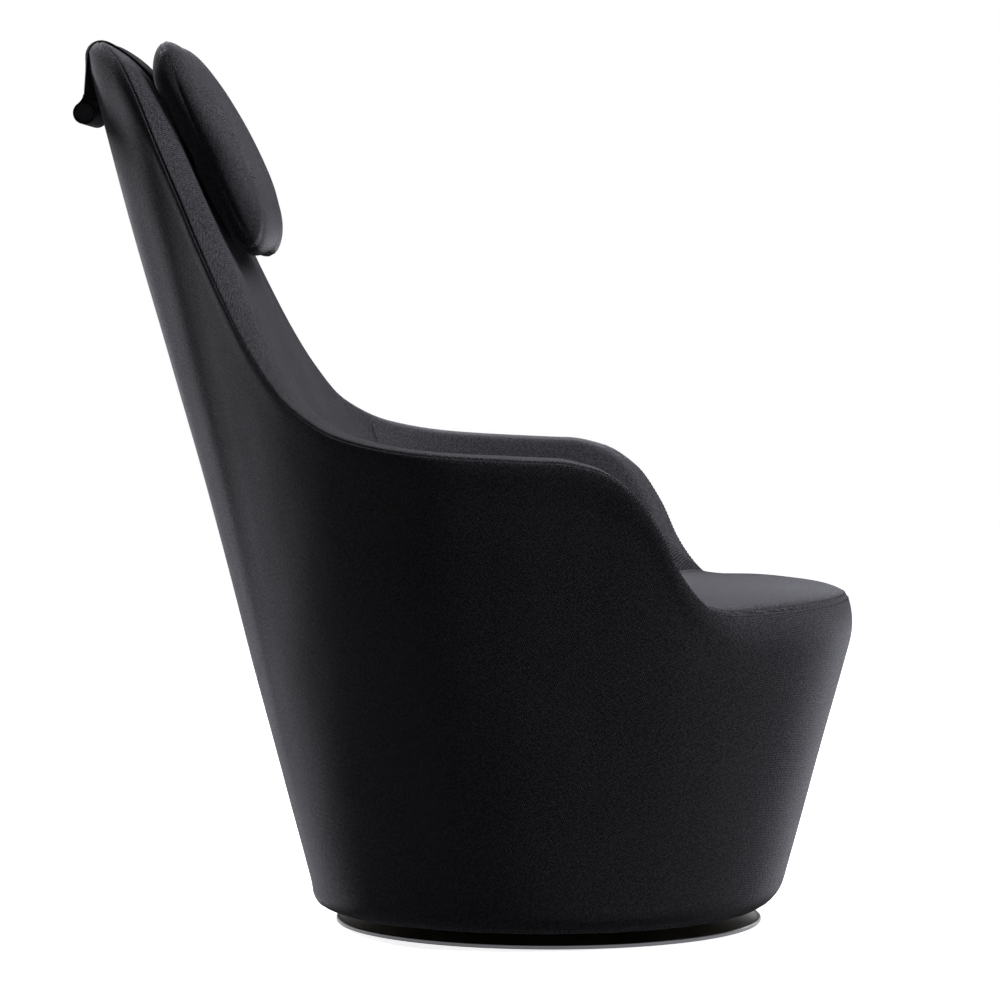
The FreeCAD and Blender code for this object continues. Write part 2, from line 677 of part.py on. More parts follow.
# Corners of the cushion's side view: share of its half height, share of its thickness.
restShares = [(1, -0.05), (0.5, 0.37), (0, 0.46), (-0.55, 0.43), (-0.97, -0.05),
              (-0.62, -0.46), (0, -0.44), (0.55, -0.38)]
strapSewnShare = 0.55
restBackShare = 0.405
# Across the cushion: share of the half width, of the height, of the thickness.
restWidthShares = [(0, 1, 1), (0.5, 0.995, 0.97), (0.8, 0.98, 0.84), (0.94, 0.95, 0.62), (1, 0.9, 0.34)]


def restLoft(drawnIn):
    rows = [(-x, high, thick) for x, high, thick in reversed(restWidthShares[1:])] + restWidthShares
    wires = []
    for xShare, high, thick in rows:
        x = xShare * (size("rest_half_width") - drawnIn)
        halfHeight = (size("rest_height") / 2 * high) - drawnIn
        deep = size("rest_thick") * thick - 2 * drawnIn
        corners = [restPoint(x, up * halfHeight, out * deep) for up, out in restShares]
        edges = [arc(corners[i], corners[i + 1], corners[(i + 2) % 8]) for i in (0, 2, 4, 6)]
        wires.append(Part.Wire(edges))
    return Part.makeLoft(wires, True, True)


restSkin = size("rest_cover_thick")
feature("headrest_cover", restLoft(0).cut(restLoft(restSkin)))
feature("headrest_core", restLoft(restSkin + size("clearance")))

# Counterweight roll: fabric sleeve, steel bar and two end discs, along X behind the back.
half = size("strap_width") / 2
rollY = size("strap_rear_depth")
along_x = V(1, 0, 0)


def rollCylinder(radius, length, start):
    return Part.makeCylinder(radius, length, V(start, rollY, size("roll_height")), along_x)


inner = size("roll_radius") - size("roll_wall")
sleeve = rollCylinder(size("roll_radius"), 2 * half, -half).cut(rollCylinder(inner, 2 * half, -half))
feature("roll_sleeve", sleeve)
discLow = half - size("roll_disc_inset") - size("roll_disc_thick")
feature("roll_weight", rollCylinder(inner, 2 * discLow, -discLow))
discs = [rollCylinder(inner, size("roll_disc_thick"), start)
         for start in (discLow, -discLow - size("roll_disc_thick"))]
feature("roll_discs", Part.makeCompound(discs))


# Strap: a band in the chair's middle, from the roll over the back's top to the headrest.
def band(name, centre, straight):
    # centre: points of the band's near face as depth and height: a line first if straight, then arcs
    lower = [V(-half, y, z) for y, z in centre]
    upper = [V(-half, y, z) for y, z in inset(centre, -size("strap_thick"))]
    edges = []
    i = 0
    if straight:
        edges = [line(lower[0], lower[1]), line(upper[0], upper[1])]
        i = 1
    while i < len(centre) - 2:
        edges.append(arc(lower[i], lower[i + 1], lower[i + 2]))
        edges.append(arc(upper[i], upper[i + 1], upper[i + 2]))
        i += 2
    edges += [line(lower[0], upper[0]), line(lower[-1], upper[-1])]
    outline = Part.Wire(Part.__sortEdges__(edges))
    return feature(name, Part.Face(outline).extrude(V(2 * half, 0, 0)))


top = inset(profile(bodyShares[0]), -size("strap_gap"))
nearFace = size("strap_rear_depth") - size("strap_thick") / 2
rearEnd = (nearFace, size("strap_rear_end"))
rearBend = (nearFace, size("strap_rear_end") + size("strap_gap"))
overTop = [rearEnd, rearBend, top[4], top[5], top[6], top[7]]
band("strap_top", overTop, True)
rollTop = size("roll_height") + size("roll_radius") + size("clearance")
band("strap_rear", [(nearFace, rollTop), (nearFace, size("strap_rear_end") - size("clearance"))], True)
sewn = restPoint(0, strapSewnShare * size("rest_height") / 2, -restBackShare * size("rest_thick"))
crest = (top[7][0] - size("clearance"), top[7][1] - size("clearance"))
band("strap_front", [crest, (sewn.y, sewn.z)], True)
doc.recompute()
used = set()
for item in doc.Objects:
    for child in item.OutList:
        if child.TypeId != "Spreadsheet::Sheet" and item.TypeId in ("Part::Cut", "Part::MultiFuse"):
            used.add(child.Name)
pieces = [item for item in doc.Objects
          if item.Name not in used and item.TypeId in (
              "Part::Feature", "PartDesign::Body", "Part::Cut", "Part::MultiFuse", "Part::Torus")]
faulty = [item.Name for item in doc.Objects if {"Invalid", "Error"} & set(item.State)]
faulty += [item.Name for item in pieces if item.Shape.isNull() or not item.Shape.isValid()]
if faulty:
    raise RuntimeError("these pieces did not build: " + ", ".join(faulty))
print("sub-parts:", len(pieces))
os.makedirs("parts", exist_ok=True)
for item in pieces:
    item.Shape.exportStep("parts/" + item.Label + ".step")
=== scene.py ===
import json
import math

import bmesh
import bpy
import numpy as np
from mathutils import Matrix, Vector
from mathutils.bvhtree import BVHTree


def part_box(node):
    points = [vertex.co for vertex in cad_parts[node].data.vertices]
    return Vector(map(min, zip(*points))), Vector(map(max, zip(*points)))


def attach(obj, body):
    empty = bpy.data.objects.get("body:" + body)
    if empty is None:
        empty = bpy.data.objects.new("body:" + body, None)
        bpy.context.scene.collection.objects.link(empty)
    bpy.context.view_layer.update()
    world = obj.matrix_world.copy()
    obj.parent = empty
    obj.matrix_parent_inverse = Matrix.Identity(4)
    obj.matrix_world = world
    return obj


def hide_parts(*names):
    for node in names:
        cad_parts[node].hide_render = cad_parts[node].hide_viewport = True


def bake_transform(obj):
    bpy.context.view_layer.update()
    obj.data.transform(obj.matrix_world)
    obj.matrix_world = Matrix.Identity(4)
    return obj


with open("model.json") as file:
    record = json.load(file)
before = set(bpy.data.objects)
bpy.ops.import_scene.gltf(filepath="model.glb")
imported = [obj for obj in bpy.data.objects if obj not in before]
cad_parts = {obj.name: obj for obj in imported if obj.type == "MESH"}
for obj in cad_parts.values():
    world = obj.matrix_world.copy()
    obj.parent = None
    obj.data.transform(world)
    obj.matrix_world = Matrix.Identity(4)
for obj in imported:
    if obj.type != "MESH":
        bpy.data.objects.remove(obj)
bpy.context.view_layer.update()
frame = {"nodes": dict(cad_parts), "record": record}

mm = 0.001
print("stage: frame loaded,", len(frame["nodes"]), "nodes")


def linked(name, data):
    item = bpy.data.objects.new(name, data)
    bpy.context.scene.collection.objects.link(item)
    return item


def meshObject(name, points, faces, material, uv=None):
    # points in millimetres; uv in metres, one pair a point or a face corner
    mesh = bpy.data.meshes.new(name)
    mesh.from_pydata((np.asarray(points, float) * mm).tolist(), [], faces)
    mesh.update()
    if uv is not None:
        uv = np.asarray(uv, np.float32)
        if len(uv) != len(mesh.loops):
            corners = np.zeros(len(mesh.loops), np.int32)
            mesh.loops.foreach_get("vertex_index", corners)
            uv = uv[corners]
        mesh.uv_layers.new(name="UVMap").data.foreach_set("uv", uv.ravel())
    mesh.shade_smooth()
    mesh.materials.append(material)
    return linked(name, mesh)


def gridFaces(rows, columns, start=0, wrap=False, flip=False):
    faces = []
    for i in range(rows - 1):
        for j in range(columns if wrap else columns - 1):
            k = (j + 1) % columns
            a, b = start + i * columns + j, start + i * columns + k
            face = (a, b, b + columns, a + columns)
            faces.append(face[::-1] if flip else face)
    return faces


def gridNormals(grid, wrap=False, flip=False):
    if wrap:
        across = np.roll(grid, -1, 1) - np.roll(grid, 1, 1)
    else:
        across = np.gradient(grid, axis=1)
    down = np.gradient(grid, axis=0)
    normal = np.cross(across, down)
    length = np.linalg.norm(normal, axis=2, keepdims=True)
    normal = normal / np.maximum(length, 1e-9)
    return -normal if flip else normal


def rimFaces(rows, columns, wrap=False, flip=False):
    # Wall round the edges between a sheet and its far side, whose points follow the sheet's own.
    around = list(range(columns)) + ([0] if wrap else [])
    rims = [around[::-1], [(rows - 1) * columns + j for j in around]]
    if not wrap:
        rims.append([i * columns for i in range(rows)])
        rims.append([i * columns + columns - 1 for i in range(rows)][::-1])
    count = rows * columns
    walls = [(a, b, b + count, a + count) for rim in rims for a, b in zip(rim, rim[1:])]
    return walls if flip else [face[::-1] for face in walls]


def shellObject(name, grid, uv, material, thickness, wrap=False, flip=False, closing=None):
    # A sheet of rows and columns made a closed shell, with its wall on the far side.
    # closing is the first column's uv as the last faces of a wrapped sheet see it.
    rows, columns = grid.shape[:2]
    normal = gridNormals(grid, wrap, flip)
    inner = grid - normal * np.broadcast_to(thickness, grid.shape[:2])[..., None]
    points = np.concatenate([grid.reshape(-1, 3), inner.reshape(-1, 3)])
    count = rows * columns
    faces = gridFaces(rows, columns, 0, wrap, flip)
    faces += gridFaces(rows, columns, count, wrap, not flip) + rimFaces(rows, columns, wrap, flip)
    cornerUv = np.tile(uv.reshape(-1, 2), (2, 1))
    if closing is not None:
        corners = np.array(faces)
        column, row = corners % count % columns, corners % count // columns
        last = (column == columns - 1).any(1, keepdims=True) & (column == 0)
        cornerUv = cornerUv[corners]
        cornerUv[last] = closing[row[last]]
        cornerUv = cornerUv.reshape(-1, 2)
    return meshObject(name, points, faces, material, cornerUv)


def freed(item):
    # Doubled points at closed tips are merged and the normals made to point outwards.
    work = bmesh.new()
    work.from_mesh(item.data)
    bmesh.ops.remove_doubles(work, verts=work.verts, dist=0.00002)
    bmesh.ops.dissolve_degenerate(work, edges=work.edges, dist=0.00001)
    bmesh.ops.recalc_face_normals(work, faces=work.faces)
    work.to_mesh(item.data)
    work.free()
    item.data.shade_smooth()
    return item


def pointsOf(item):
    return np.array([v.co for v in item.data.vertices])


def movePoints(item, points):
    item.data.vertices.foreach_set("co", np.asarray(points, np.float32).ravel())
    item.data.update()


def smoothThrough(xs, ys, at):
    # Cubic through the rows that never overshoots, level at both ends.
    gap = np.diff(xs)
    rise = np.diff(ys) / gap
    tilt = np.zeros(len(xs))
    for i in range(1, len(xs) - 1):
        if rise[i - 1] * rise[i] > 0:
            before, after = 2 * gap[i] + gap[i - 1], gap[i] + 2 * gap[i - 1]
            tilt[i] = (before + after) / (before / rise[i - 1] + after / rise[i])
    k = np.clip(np.searchsorted(xs, at, side="right") - 1, 0, len(xs) - 2)
    t = (at - xs[k]) / gap[k]
    return ((2 * t**3 - 3 * t**2 + 1) * ys[k] + (t**3 - 2 * t**2 + t) * gap[k] * tilt[k]
            + (3 * t**2 - 2 * t**3) * ys[k + 1] + (t**3 - t**2) * gap[k] * tilt[k + 1])


def tableValue(table, column, at):
    return float(smoothThrough(table[:, 0], table[:, column], np.array([at]))[0])


def cubicBetween(a, b, c, d, t):
    # Catmull-Rom point between b and c, with a and d as the ones outside them.
    return 0.5 * ((2 * b) + (c - a) * t + (2 * a - 5 * b + 4 * c - d) * t**2 + (3 * b - a - 3 * c + d) * t**3)


def smoothStep(low, high, value):
    t = np.clip((value - low) / (high - low), 0, 1)
    return t * t * (3 - 2 * t)


stitchWidth = 1.2  # of the dent that a row of stitches leaves


def bell(value, at, width):
    return np.exp(-((value - at) / width) ** 2)


def bent(a, control, b, count):
    t = np.linspace(0, 1, count)[:, None]
    return (1 - t) ** 2 * a + 2 * t * (1 - t) * control + t**2 * b


def swelled(a, b, swell, count):
    # Shallow curve from a to b whose middle stands swell to the left of the way.
    way = b - a
    side = np.array([-way[1], way[0]]) / max(np.linalg.norm(way), 1e-9)
    return bent(a, (a + b) / 2 + side * swell * 2, b, count)


def lengthsAlong(line):
    steps = np.linalg.norm(np.diff(line, axis=0), axis=1)
    return np.concatenate([[0], np.cumsum(steps)])


def placesAt(at, run, line, **options):
    return np.stack([np.interp(at, run, line[:, k], **options) for k in range(line.shape[1])], -1)


def sampled(line, distances):
    return placesAt(distances, lengthsAlong(line), line)


def evened(line, pitch):
    total = lengthsAlong(line)[-1]
    return sampled(line, np.linspace(0, total, max(int(total / pitch), 8)))


def closedEven(line, pitch):
    return evened(np.concatenate([line, line[:1]]), pitch)


def rounded(line, reach, pitch=2.0):
    # Corners rounded by a soft average along the line; the two ends stay.
    line = evened(line, pitch)
    half = int(3 * reach / pitch)
    weights = np.exp(-0.5 * (np.arange(-half, half + 1) * pitch / reach) ** 2)
    weights /= weights.sum()
    before = 2 * line[0] - line[1:half + 1][::-1]
    after = 2 * line[-1] - line[-half - 1:-1][::-1]
    padded = np.concatenate([before, line, after])
    out = np.stack([np.convolve(padded[:, k], weights, "valid") for k in range(line.shape[1])], 1)
    out[0], out[-1] = line[0], line[-1]
    return out


def addNode(tree, kind, inputs=None, **settings):
    node = tree.nodes.new(kind)
    for key, value in settings.items():
        setattr(node, key, value)
    for key, value in (inputs or {}).items():
        if isinstance(value, bpy.types.NodeSocket):
            tree.links.new(value, node.inputs[key])
        else:
            node.inputs[key].default_value = value
    return node


def calc(tree, operation, a, b=0.0):
    return addNode(tree, "ShaderNodeMath", {0: a, 1: b}, operation=operation).outputs[0]


def blankMaterial(name, **shaderValues):
    material = bpy.data.materials.new(name)
    material.use_nodes = True
    tree = material.node_tree
    shader = tree.nodes["Principled BSDF"]
    for key, value in shaderValues.items():
        shader.inputs[key].default_value = value
    return material, tree, shader


def ramp(tree, factor, low, high, lowAt=0.3, highAt=0.7):
    node = addNode(tree, "ShaderNodeValToRGB", {"Fac": factor})
    node.color_ramp.elements[0].position = lowAt
    node.color_ramp.elements[1].position = highAt
    node.color_ramp.elements[0].color = (*low, 1)
    node.color_ramp.elements[1].color = (*high, 1)
    return node.outputs["Color"]


def noise(tree, vector, scale, detail=1.0, output="Fac"):
    return addNode(tree, "ShaderNodeTexNoise", {"Vector": vector, "Scale": scale, "Detail": detail}).outputs[output]


def objectPlace(tree):
    return addNode(tree, "ShaderNodeTexCoord").outputs["Object"]


def weighted(tree, pairs):
    # Sum of the sockets, each times its share.
    total, *others = [calc(tree, "MULTIPLY", *pair) for pair in pairs]
    for other in others:
        total = calc(tree, "ADD", total, other)
    return total


def colourMix(tree, factor, low, high):
    return addNode(tree, "ShaderNodeMix", {"Factor": factor, 6: low, 7: high}, data_type="RGBA").outputs[2]


def bumped(tree, shader, height, strength, distance):
    bump = addNode(tree, "ShaderNodeBump", {"Height": height, "Strength": strength, "Distance": distance})
    tree.links.new(bump.outputs[0], shader.inputs["Normal"])


def weaveHeight(tree, vector, pitch):
    # Plain weave as rounded dots of thread, shifted a little by noise so that rows stay uneven.
    drift = noise(tree, vector, 130.0, output="Color")
    drift = addNode(tree, "ShaderNodeVectorMath", {0: drift, "Scale": pitch * 0.9}, operation="SCALE").outputs[0]
    moved = addNode(tree, "ShaderNodeVectorMath", {0: vector, 1: drift}, operation="ADD").outputs[0]
    parts = addNode(tree, "ShaderNodeSeparateXYZ", {0: moved})
    waves = [calc(tree, "SINE", calc(tree, "MULTIPLY", parts.outputs[k], math.pi / pitch)) for k in (0, 1)]
    return calc(tree, "ADD", calc(tree, "MULTIPLY", calc(tree, "MULTIPLY", *waves), 0.5), 0.5)


def wovenFabric(name, look):
    material, tree, shader = blankMaterial(name, **{
        "Roughness": look["roughness"], "Specular IOR Level": look["specular"], "Sheen Weight": look["sheen"],
        "Sheen Roughness": look["sheenRoughness"], "Sheen Tint": (*look["sheenTint"], 1)})
    place = objectPlace(tree)
    uv = addNode(tree, "ShaderNodeUVMap", uv_map="UVMap").outputs[0]
    height = weaveHeight(tree, uv, look["pitch"])
    slubs = []
    for stretch in ((1.0, 0.22, 1.0), (0.22, 1.0, 1.0)):
        along = addNode(tree, "ShaderNodeMapping", {"Vector": uv, "Scale": stretch})
        slubs.append(noise(tree, along.outputs[0], look["slubScale"]))
    slub = calc(tree, "MAXIMUM", *slubs)
    fleck = noise(tree, uv, look["fleckScale"], 2.0)
    fuzz = noise(tree, place, look["fuzzScale"], 3.0)
    wide = noise(tree, place, look["wideScale"], 2.0)
    mixed = weighted(tree, zip((height, fleck, slub, wide), look["colourShares"]))
    tree.links.new(ramp(tree, mixed, look["dark"], look["light"], *look["rampEnds"]), shader.inputs["Base Color"])
    raised = weighted(tree, zip((height, fuzz, slub, fleck), look["reliefShares"]))
    bumped(tree, shader, raised, look["bump"], look["bumpDepth"])
    return material


fabricLook = {
    "dark": (0.007, 0.007, 0.0085), "light": (0.075, 0.075, 0.087),
    "pitch": 0.0015, "fleckScale": 330.0, "fuzzScale": 1100.0, "slubScale": 420.0, "wideScale": 9.0,
    "colourShares": (0.30, 0.40, 0.25, 0.08),  # weave, flecks, slubs, wide patches
    "reliefShares": (0.7, 0.4, 0.7, 1.0),  # weave, fuzz, slubs, flecks
    "rampEnds": (0.41, 0.66),
    "roughness": 0.95, "specular": 0.06, "sheen": 0.68, "sheenRoughness": 0.26,
    "sheenTint": (0.66, 0.66, 0.74), "bump": 0.9, "bumpDepth": 0.0006,
}
strapLook = dict(fabricLook, dark=(0.004, 0.004, 0.0045), light=(0.014, 0.014, 0.016),
                 pitch=0.0012, sheen=0.22)
fabric = wovenFabric("charcoalWool", fabricLook)
strapFabric = wovenFabric("strapWeb", strapLook)


def threadMaterial():
    material, tree, shader = blankMaterial("blackThread", **{
        "Roughness": 0.8, "Specular IOR Level": 0.1, "Sheen Weight": 0.1, "Sheen Roughness": 0.4})
    twist = noise(tree, objectPlace(tree), 1800.0)
    tree.links.new(ramp(tree, twist, (0.003, 0.003, 0.0034), (0.010, 0.010, 0.0115)), shader.inputs["Base Color"])
    bumped(tree, shader, twist, 0.4, 0.0002)
    return material


thread = threadMaterial()
print("stage: fabrics made")


# Sections at angles from the rear: the seam's height as shares of the arm's and the back's rise,
# the seam's and the shoulder's radius as shares of the cone, the shoulder's swell, the rim's width,
# drop and swell, the inner wall's dish and its foot.
bodyRows = np.array([
    (0, 1, 1.000, 0.966, 1.002, 0.27, 1.06, 0.78, 0.10, 1.0, 0.54),
    (7, 1, 0.996, 0.959, 0.994, 0.25, 1.03, 0.85, 0.10, 0.9, 0.54),
    (13, 1, 0.950, 0.938, 0.964, 0.16, 0.96, 1.03, 0.14, 0.5, 0.56),
    (17, 1, 0.868, 0.930, 0.945, 0.08, 0.97, 1.28, 0.18, 0.3, 0.57),
    (20, 1, 0.749, 0.9235, 0.928, 0.05, 1.10, 1.48, 0.20, 0.3, 0.58),
    (24, 1, 0.592, 0.914, 0.917, 0.04, 1.13, 1.38, 0.20, 0.3, 0.59),
    (29, 1, 0.419, 0.911, 0.914, 0.04, 1.02, 0.94, 0.17, 0.3, 0.62),
    (36, 1, 0.247, 0.915, 0.919, 0.04, 0.85, 0.42, 0.12, 0.3, 0.67),
    (45, 1, 0.120, 0.928, 0.932, 0.04, 0.73, 0.17, 0.08, 0.3, 0.74),
    (57, 1, 0.047, 0.953, 0.955, 0.04, 0.77, 0.06, 0.06, 0.3, 0.85),
    (70, 1, 0.017, 0.966, 0.968, 0.04, 0.90, 0.02, 0.05, 0.3, 0.96),
    (82, 1, 0.005, 0.945, 0.948, 0.04, 0.98, 0.00, 0.05, 0.2, 1.00),
    (92, 0.998, 0, 0.938, 0.941, 0.04, 0.98, 0.00, 0.05, 0.2, 1.00),
    (99, 0.950, 0, 0.945, 0.948, 0.04, 0.95, 0.00, 0.05, 0.2, 1.01),
    (105, 0.808, 0, 0.964, 0.966, 0.04, 0.93, -0.01, 0.045, 0.2, 1.03),
    (110, 0.562, 0, 0.981, 0.983, 0.04, 0.90, -0.02, 0.04, 0.2, 1.05),
    (114, 0.298, 0, 0.992, 0.994, 0.04, 0.88, -0.02, 0.035, 0.2, 1.09),
    (118, 0.125, 0, 0.995, 0.998, 0.04, 0.88, -0.01, 0.03, 0.2, 1.12),
    (121, 0.048, 0, 0.990, 0.998, 0.05, 0.88, 0.00, 0.03, 0.2, 1.15),
    (125, 0.010, 0, 0.980, 0.998, 0.055, 0.88, 0.02, 0.03, 0.2, 1.18),
    (130, 0, 0, 0.962, 0.996, 0.07, 0.88, 0.05, 0.03, 0.2, 1.20),
    (142, 0, 0, 0.950, 0.993, 0.085, 0.88, 0.05, 0.03, 0.2, 1.20),
    (155, 0, 0, 0.947, 0.992, 0.085, 0.88, 0.05, 0.03, 0.2, 1.20),
    (168, 0, 0, 0.946, 0.992, 0.085, 0.88, 0.05, 0.03, 0.2, 1.20),
    (180, 0, 0, 0.946, 0.992, 0.085, 0.88, 0.05, 0.03, 0.2, 1.20),
])
body = {
    "coneRadius": 290.0, "flare": 0.27066, "coneFoot": 45.0,
    "seatRim": 396.0, "armRise": 183.0, "backRise": 498.0,
    "shoulder": 35.0, "rimWidth": 63.0, "dish": 14.0,
    "wellHalfWidth": 211.0, "wellFloor": 302.8,
    "hemRadius": 265.0, "hemHeight": 20.0, "hemSwell": 7.0, "hemRearOut": 6.0, "hemFrontIn": 7.0,
    "armTaper": (111.0, 121.5), "armTipLift": 1.5, "armTipAt": 116.0, "tip": 122.5,
    "joinAngle": 49.0, "wall": 3.0,
    "seamDepth": 3.2, "seamReach": 1.9, "stitchAt": 3.4, "stitchDent": 0.5,
    "hemSeamAt": 11.0, "hemDent": (1.3, 1.8), "hemStitchIn": 3.2, "joinDent": (1.4, 1.7), "joinStitchOut": 0.55,
    "outerRound": 5.0, "rimRound": 4.5, "outerWaves": 0.45, "innerWaves": 0.5,
    "shoulderSteps": 20, "flankSteps": 60, "hemSteps": 24, "rimSteps": 30, "outerRows": 42, "innerRows": 58,
    "frontFoot": (0.8, 16.0), "frontSeam": 0.42, "frontShoulder": 25.0,
    "frontRise": ((2.5, (112, 124)), (3.5, (140, 172))), "rearWaves": ((1.5, 878.0, 85.0), (-3.4, 520.0, 160.0)),
    # angles over which each of these comes in
    "frontAt": (95, 150), "frontSeamAt": (112, 124), "frontShoulderAt": (120, 150), "hemRearAt": (20, 90),
    "rearAt": (30, 62),
}


def coneRadius(z):
    return body["coneRadius"] + body["flare"] * (z - body["coneFoot"])


def sectionAt(angle):
    # Two lines of (radius, height): seam to hem outside, and seam to the well's floor inside.
    a = abs(angle)
    arm, back, seamShare, flankShare, swell, width, drop, rimSwell, dish, footShare = [
        tableValue(bodyRows, k, a) for k in range(1, 11)]
    rim = body["rimWidth"]
    seamZ = body["seatRim"] + arm * body["armRise"] + back * body["backRise"]
    seamZ += sum(rise * smoothStep(*at, a) for rise, at in body["frontRise"])
    seam = np.array([seamShare * coneRadius(seamZ), seamZ])
    shoulderDrop = body["shoulder"] + body["frontShoulder"] * smoothStep(*body["frontShoulderAt"], a)
    shoulderZ = seamZ - shoulderDrop
    shoulder = np.array([flankShare * coneRadius(shoulderZ), shoulderZ])
    front = smoothStep(*body["frontAt"], a)
    flank = np.array([body["coneRadius"], body["coneFoot"]]) + front * np.array(body["frontFoot"])
    hemRadius = body["hemRadius"] + body["hemRearOut"] * (1 - smoothStep(*body["hemRearAt"], a))
    hem = np.array([hemRadius - body["hemFrontIn"] * front, body["hemHeight"]])
    outer = np.concatenate([
        swelled(seam, shoulder, swell * shoulderDrop, body["shoulderSteps"]),
        np.linspace(shoulder, flank, body["flankSteps"])[1:],
        swelled(flank, hem, body["hemSwell"], body["hemSteps"])[1:],
    ])
    rear = 1 - smoothStep(*body["rearAt"], a)
    for size, height, reach in body["rearWaves"]:
        outer[:, 0] += rear * size * bell(outer[:, 1], height, reach)
    taper = 1 - smoothStep(*body["armTaper"], a)
    lift = body["armTipLift"] * bell(a, body["armTipAt"], 4)
    width = width * taper + 0.02
    crest = np.array([seam[0] - width * rim, seamZ - drop * rim * taper + lift])
    foot = np.array([footShare * body["wellHalfWidth"], body["wellFloor"]])
    foot[0] = foot[0] * taper + (coneRadius(body["wellFloor"]) - 30) * (1 - taper)
    inner = np.concatenate([
        swelled(seam, crest, -rimSwell * rim * (0.25 + 0.75 * taper), body["rimSteps"]),
        swelled(crest, foot, dish * body["dish"], body["flankSteps"])[1:],
    ])
    return rounded(outer, body["outerRound"]), rounded(inner, body["rimRound"] * (0.15 + 0.85 * taper))


fineRows = [0, 0.7, 1.4, 2.1, 2.9, 3.7, 4.5, 5.3, 6.3, 8, 10.5, 14, 19]  # distances from the seam


def rowPlaces(total, middle, endFine=()):
    last = total - (endFine[0] if len(endFine) else 0)
    spread = np.linspace(fineRows[-1], last, middle + 1)[1:]
    ends = [total - e for e in endFine[1:]]
    return np.array(fineRows + list(spread) + ends)


def roundAxis(angles, radii, heights):
    turn = np.radians(angles)
    return np.stack([radii * np.sin(turn), radii * np.cos(turn), heights], -1)


def laidRows(angles, lineAt, middle, endFine=()):
    # Points of a panel in rows down from the seam, and every point's distance from the seam.
    grid, run = [], []
    for angle in angles:
        line = lineAt(angle)
        places = rowPlaces(lengthsAlong(line)[-1], middle, endFine)
        line = sampled(line, places)
        grid.append(roundAxis(angle, line[:, 0], line[:, 1]))
        run.append(places)
    return np.array(grid).transpose(1, 0, 2), np.array(run).T


def softWaves(points, strength):
    # Slight unevenness of foam under fabric, the same on every run.
    x, y, z = points[..., 0], points[..., 1], points[..., 2]
    return strength * (np.sin(x / 61 + 0.7) * np.sin(y / 47 + 1.1) * np.sin(z / 73 + 0.4)
                       + 0.5 * np.sin(x / 29 + y / 37 + 2.0) * np.sin(z / 31 + 0.9))


def seamDent(distance):
    groove = body["seamDepth"] * bell(distance, 0, body["seamReach"])
    return groove + body["stitchDent"] * bell(distance, body["stitchAt"], stitchWidth)


def seamShallow(angles):
    # The seam is sewn flatter round the seat's front than along the back and arms.
    return 1 - (1 - body["frontSeam"]) * smoothStep(*body["frontSeamAt"], np.abs(angles))


outerAngles = np.arange(-180.0, 180.0, 1.0)
joinFine = np.array([-1.2, -0.8, -0.55, -0.4, -0.25, -0.12, 0, 0.12, 0.25, 0.4, 0.55, 0.8, 1.2])
tipAngle = body["tip"]
innerAngles = np.unique(np.round(np.concatenate([
    np.arange(-tipAngle, tipAngle + 0.1, 1.0), [tipAngle],
    body["joinAngle"] + joinFine, -body["joinAngle"] + joinFine]), 3))
hemFine = list(np.arange(46, -0.1, -2.0))
outerGrid, outerRun = laidRows(outerAngles, lambda angle: sectionAt(angle)[0], body["outerRows"], hemFine)

# Inside, the rim keeps its sections and the wall below it is drawn smooth from side to side.
rimReach, rimStep, wallSteps = 84.0, 2.0, 70
baseAngles = np.arange(-tipAngle, tipAngle + 0.1, 1.0)
wallTable = []
for angle in baseAngles:
    innerLine = sectionAt(angle)[1]
    far = np.linspace(rimReach, lengthsAlong(innerLine)[-1], wallSteps)
    wallTable.append(sampled(innerLine, np.concatenate([np.arange(0, rimReach, rimStep), far])))
wallTable = np.array(wallTable)


def drawnSmooth(table, rimRows, reach):
    # Soft average across the sections, growing from the rim down to the floor.
    out = table.copy()
    count = len(table)
    for k in range(rimRows, table.shape[1]):
        share = (k - rimRows) / (table.shape[1] - rimRows)
        width = reach * min(1, 0.12 + 2.2 * share)
        offsets = np.arange(-int(3 * width), int(3 * width) + 1)
        weights = np.exp(-0.5 * (offsets / width) ** 2)
        weights /= weights.sum()
        picked = np.clip(np.arange(count)[:, None] + offsets[None], 0, count - 1)
        out[:, k] = (table[picked, k] * weights[None, :, None]).sum(1)
    return out


wallTable = drawnSmooth(wallTable, int(rimReach / rimStep) - 8, 6.0)


def wallLine(angle):
    # Section at any angle, by a cubic through the four nearest.
    s = np.clip((angle - baseAngles[0]) / (baseAngles[1] - baseAngles[0]), 0, len(baseAngles) - 1)
    i = min(int(s), len(baseAngles) - 2)
    t = s - i
    return cubicBetween(*(wallTable[np.clip(i + k, 0, len(baseAngles) - 1)] for k in (-1, 0, 1, 2)), t)


innerGrid, innerRun = laidRows(innerAngles, wallLine, body["innerRows"])
innerLines = [wallLine(angle) for angle in innerAngles]
print("stage: body sections laid out")

outerNormal = gridNormals(outerGrid, wrap=True)
innerNormal = gridNormals(innerGrid, flip=True)


def seamNormals(angles):
    # Both panels share one direction along the seam, so their edges meet in the groove.
    outside = placesAt(angles, outerAngles, outerNormal[1], period=360)
    inside = placesAt(angles, innerAngles, innerNormal[3])
    front = np.abs(angles) > tipAngle - 8
    inside[front] = outside[front] * 0.3 + np.array([0, 0, 1.0])
    both = outside + inside
    return both / np.linalg.norm(both, axis=1, keepdims=True)


def reliefWay(normal, run, angles):
    # The panel's own normal, turned over the last few millimetres to the one shared at the seam.
    share = smoothStep(0, 6, run)[..., None]
    way = normal * share + seamNormals(angles)[None] * (1 - share)
    return way / np.maximum(np.linalg.norm(way, axis=2, keepdims=True), 1e-9)


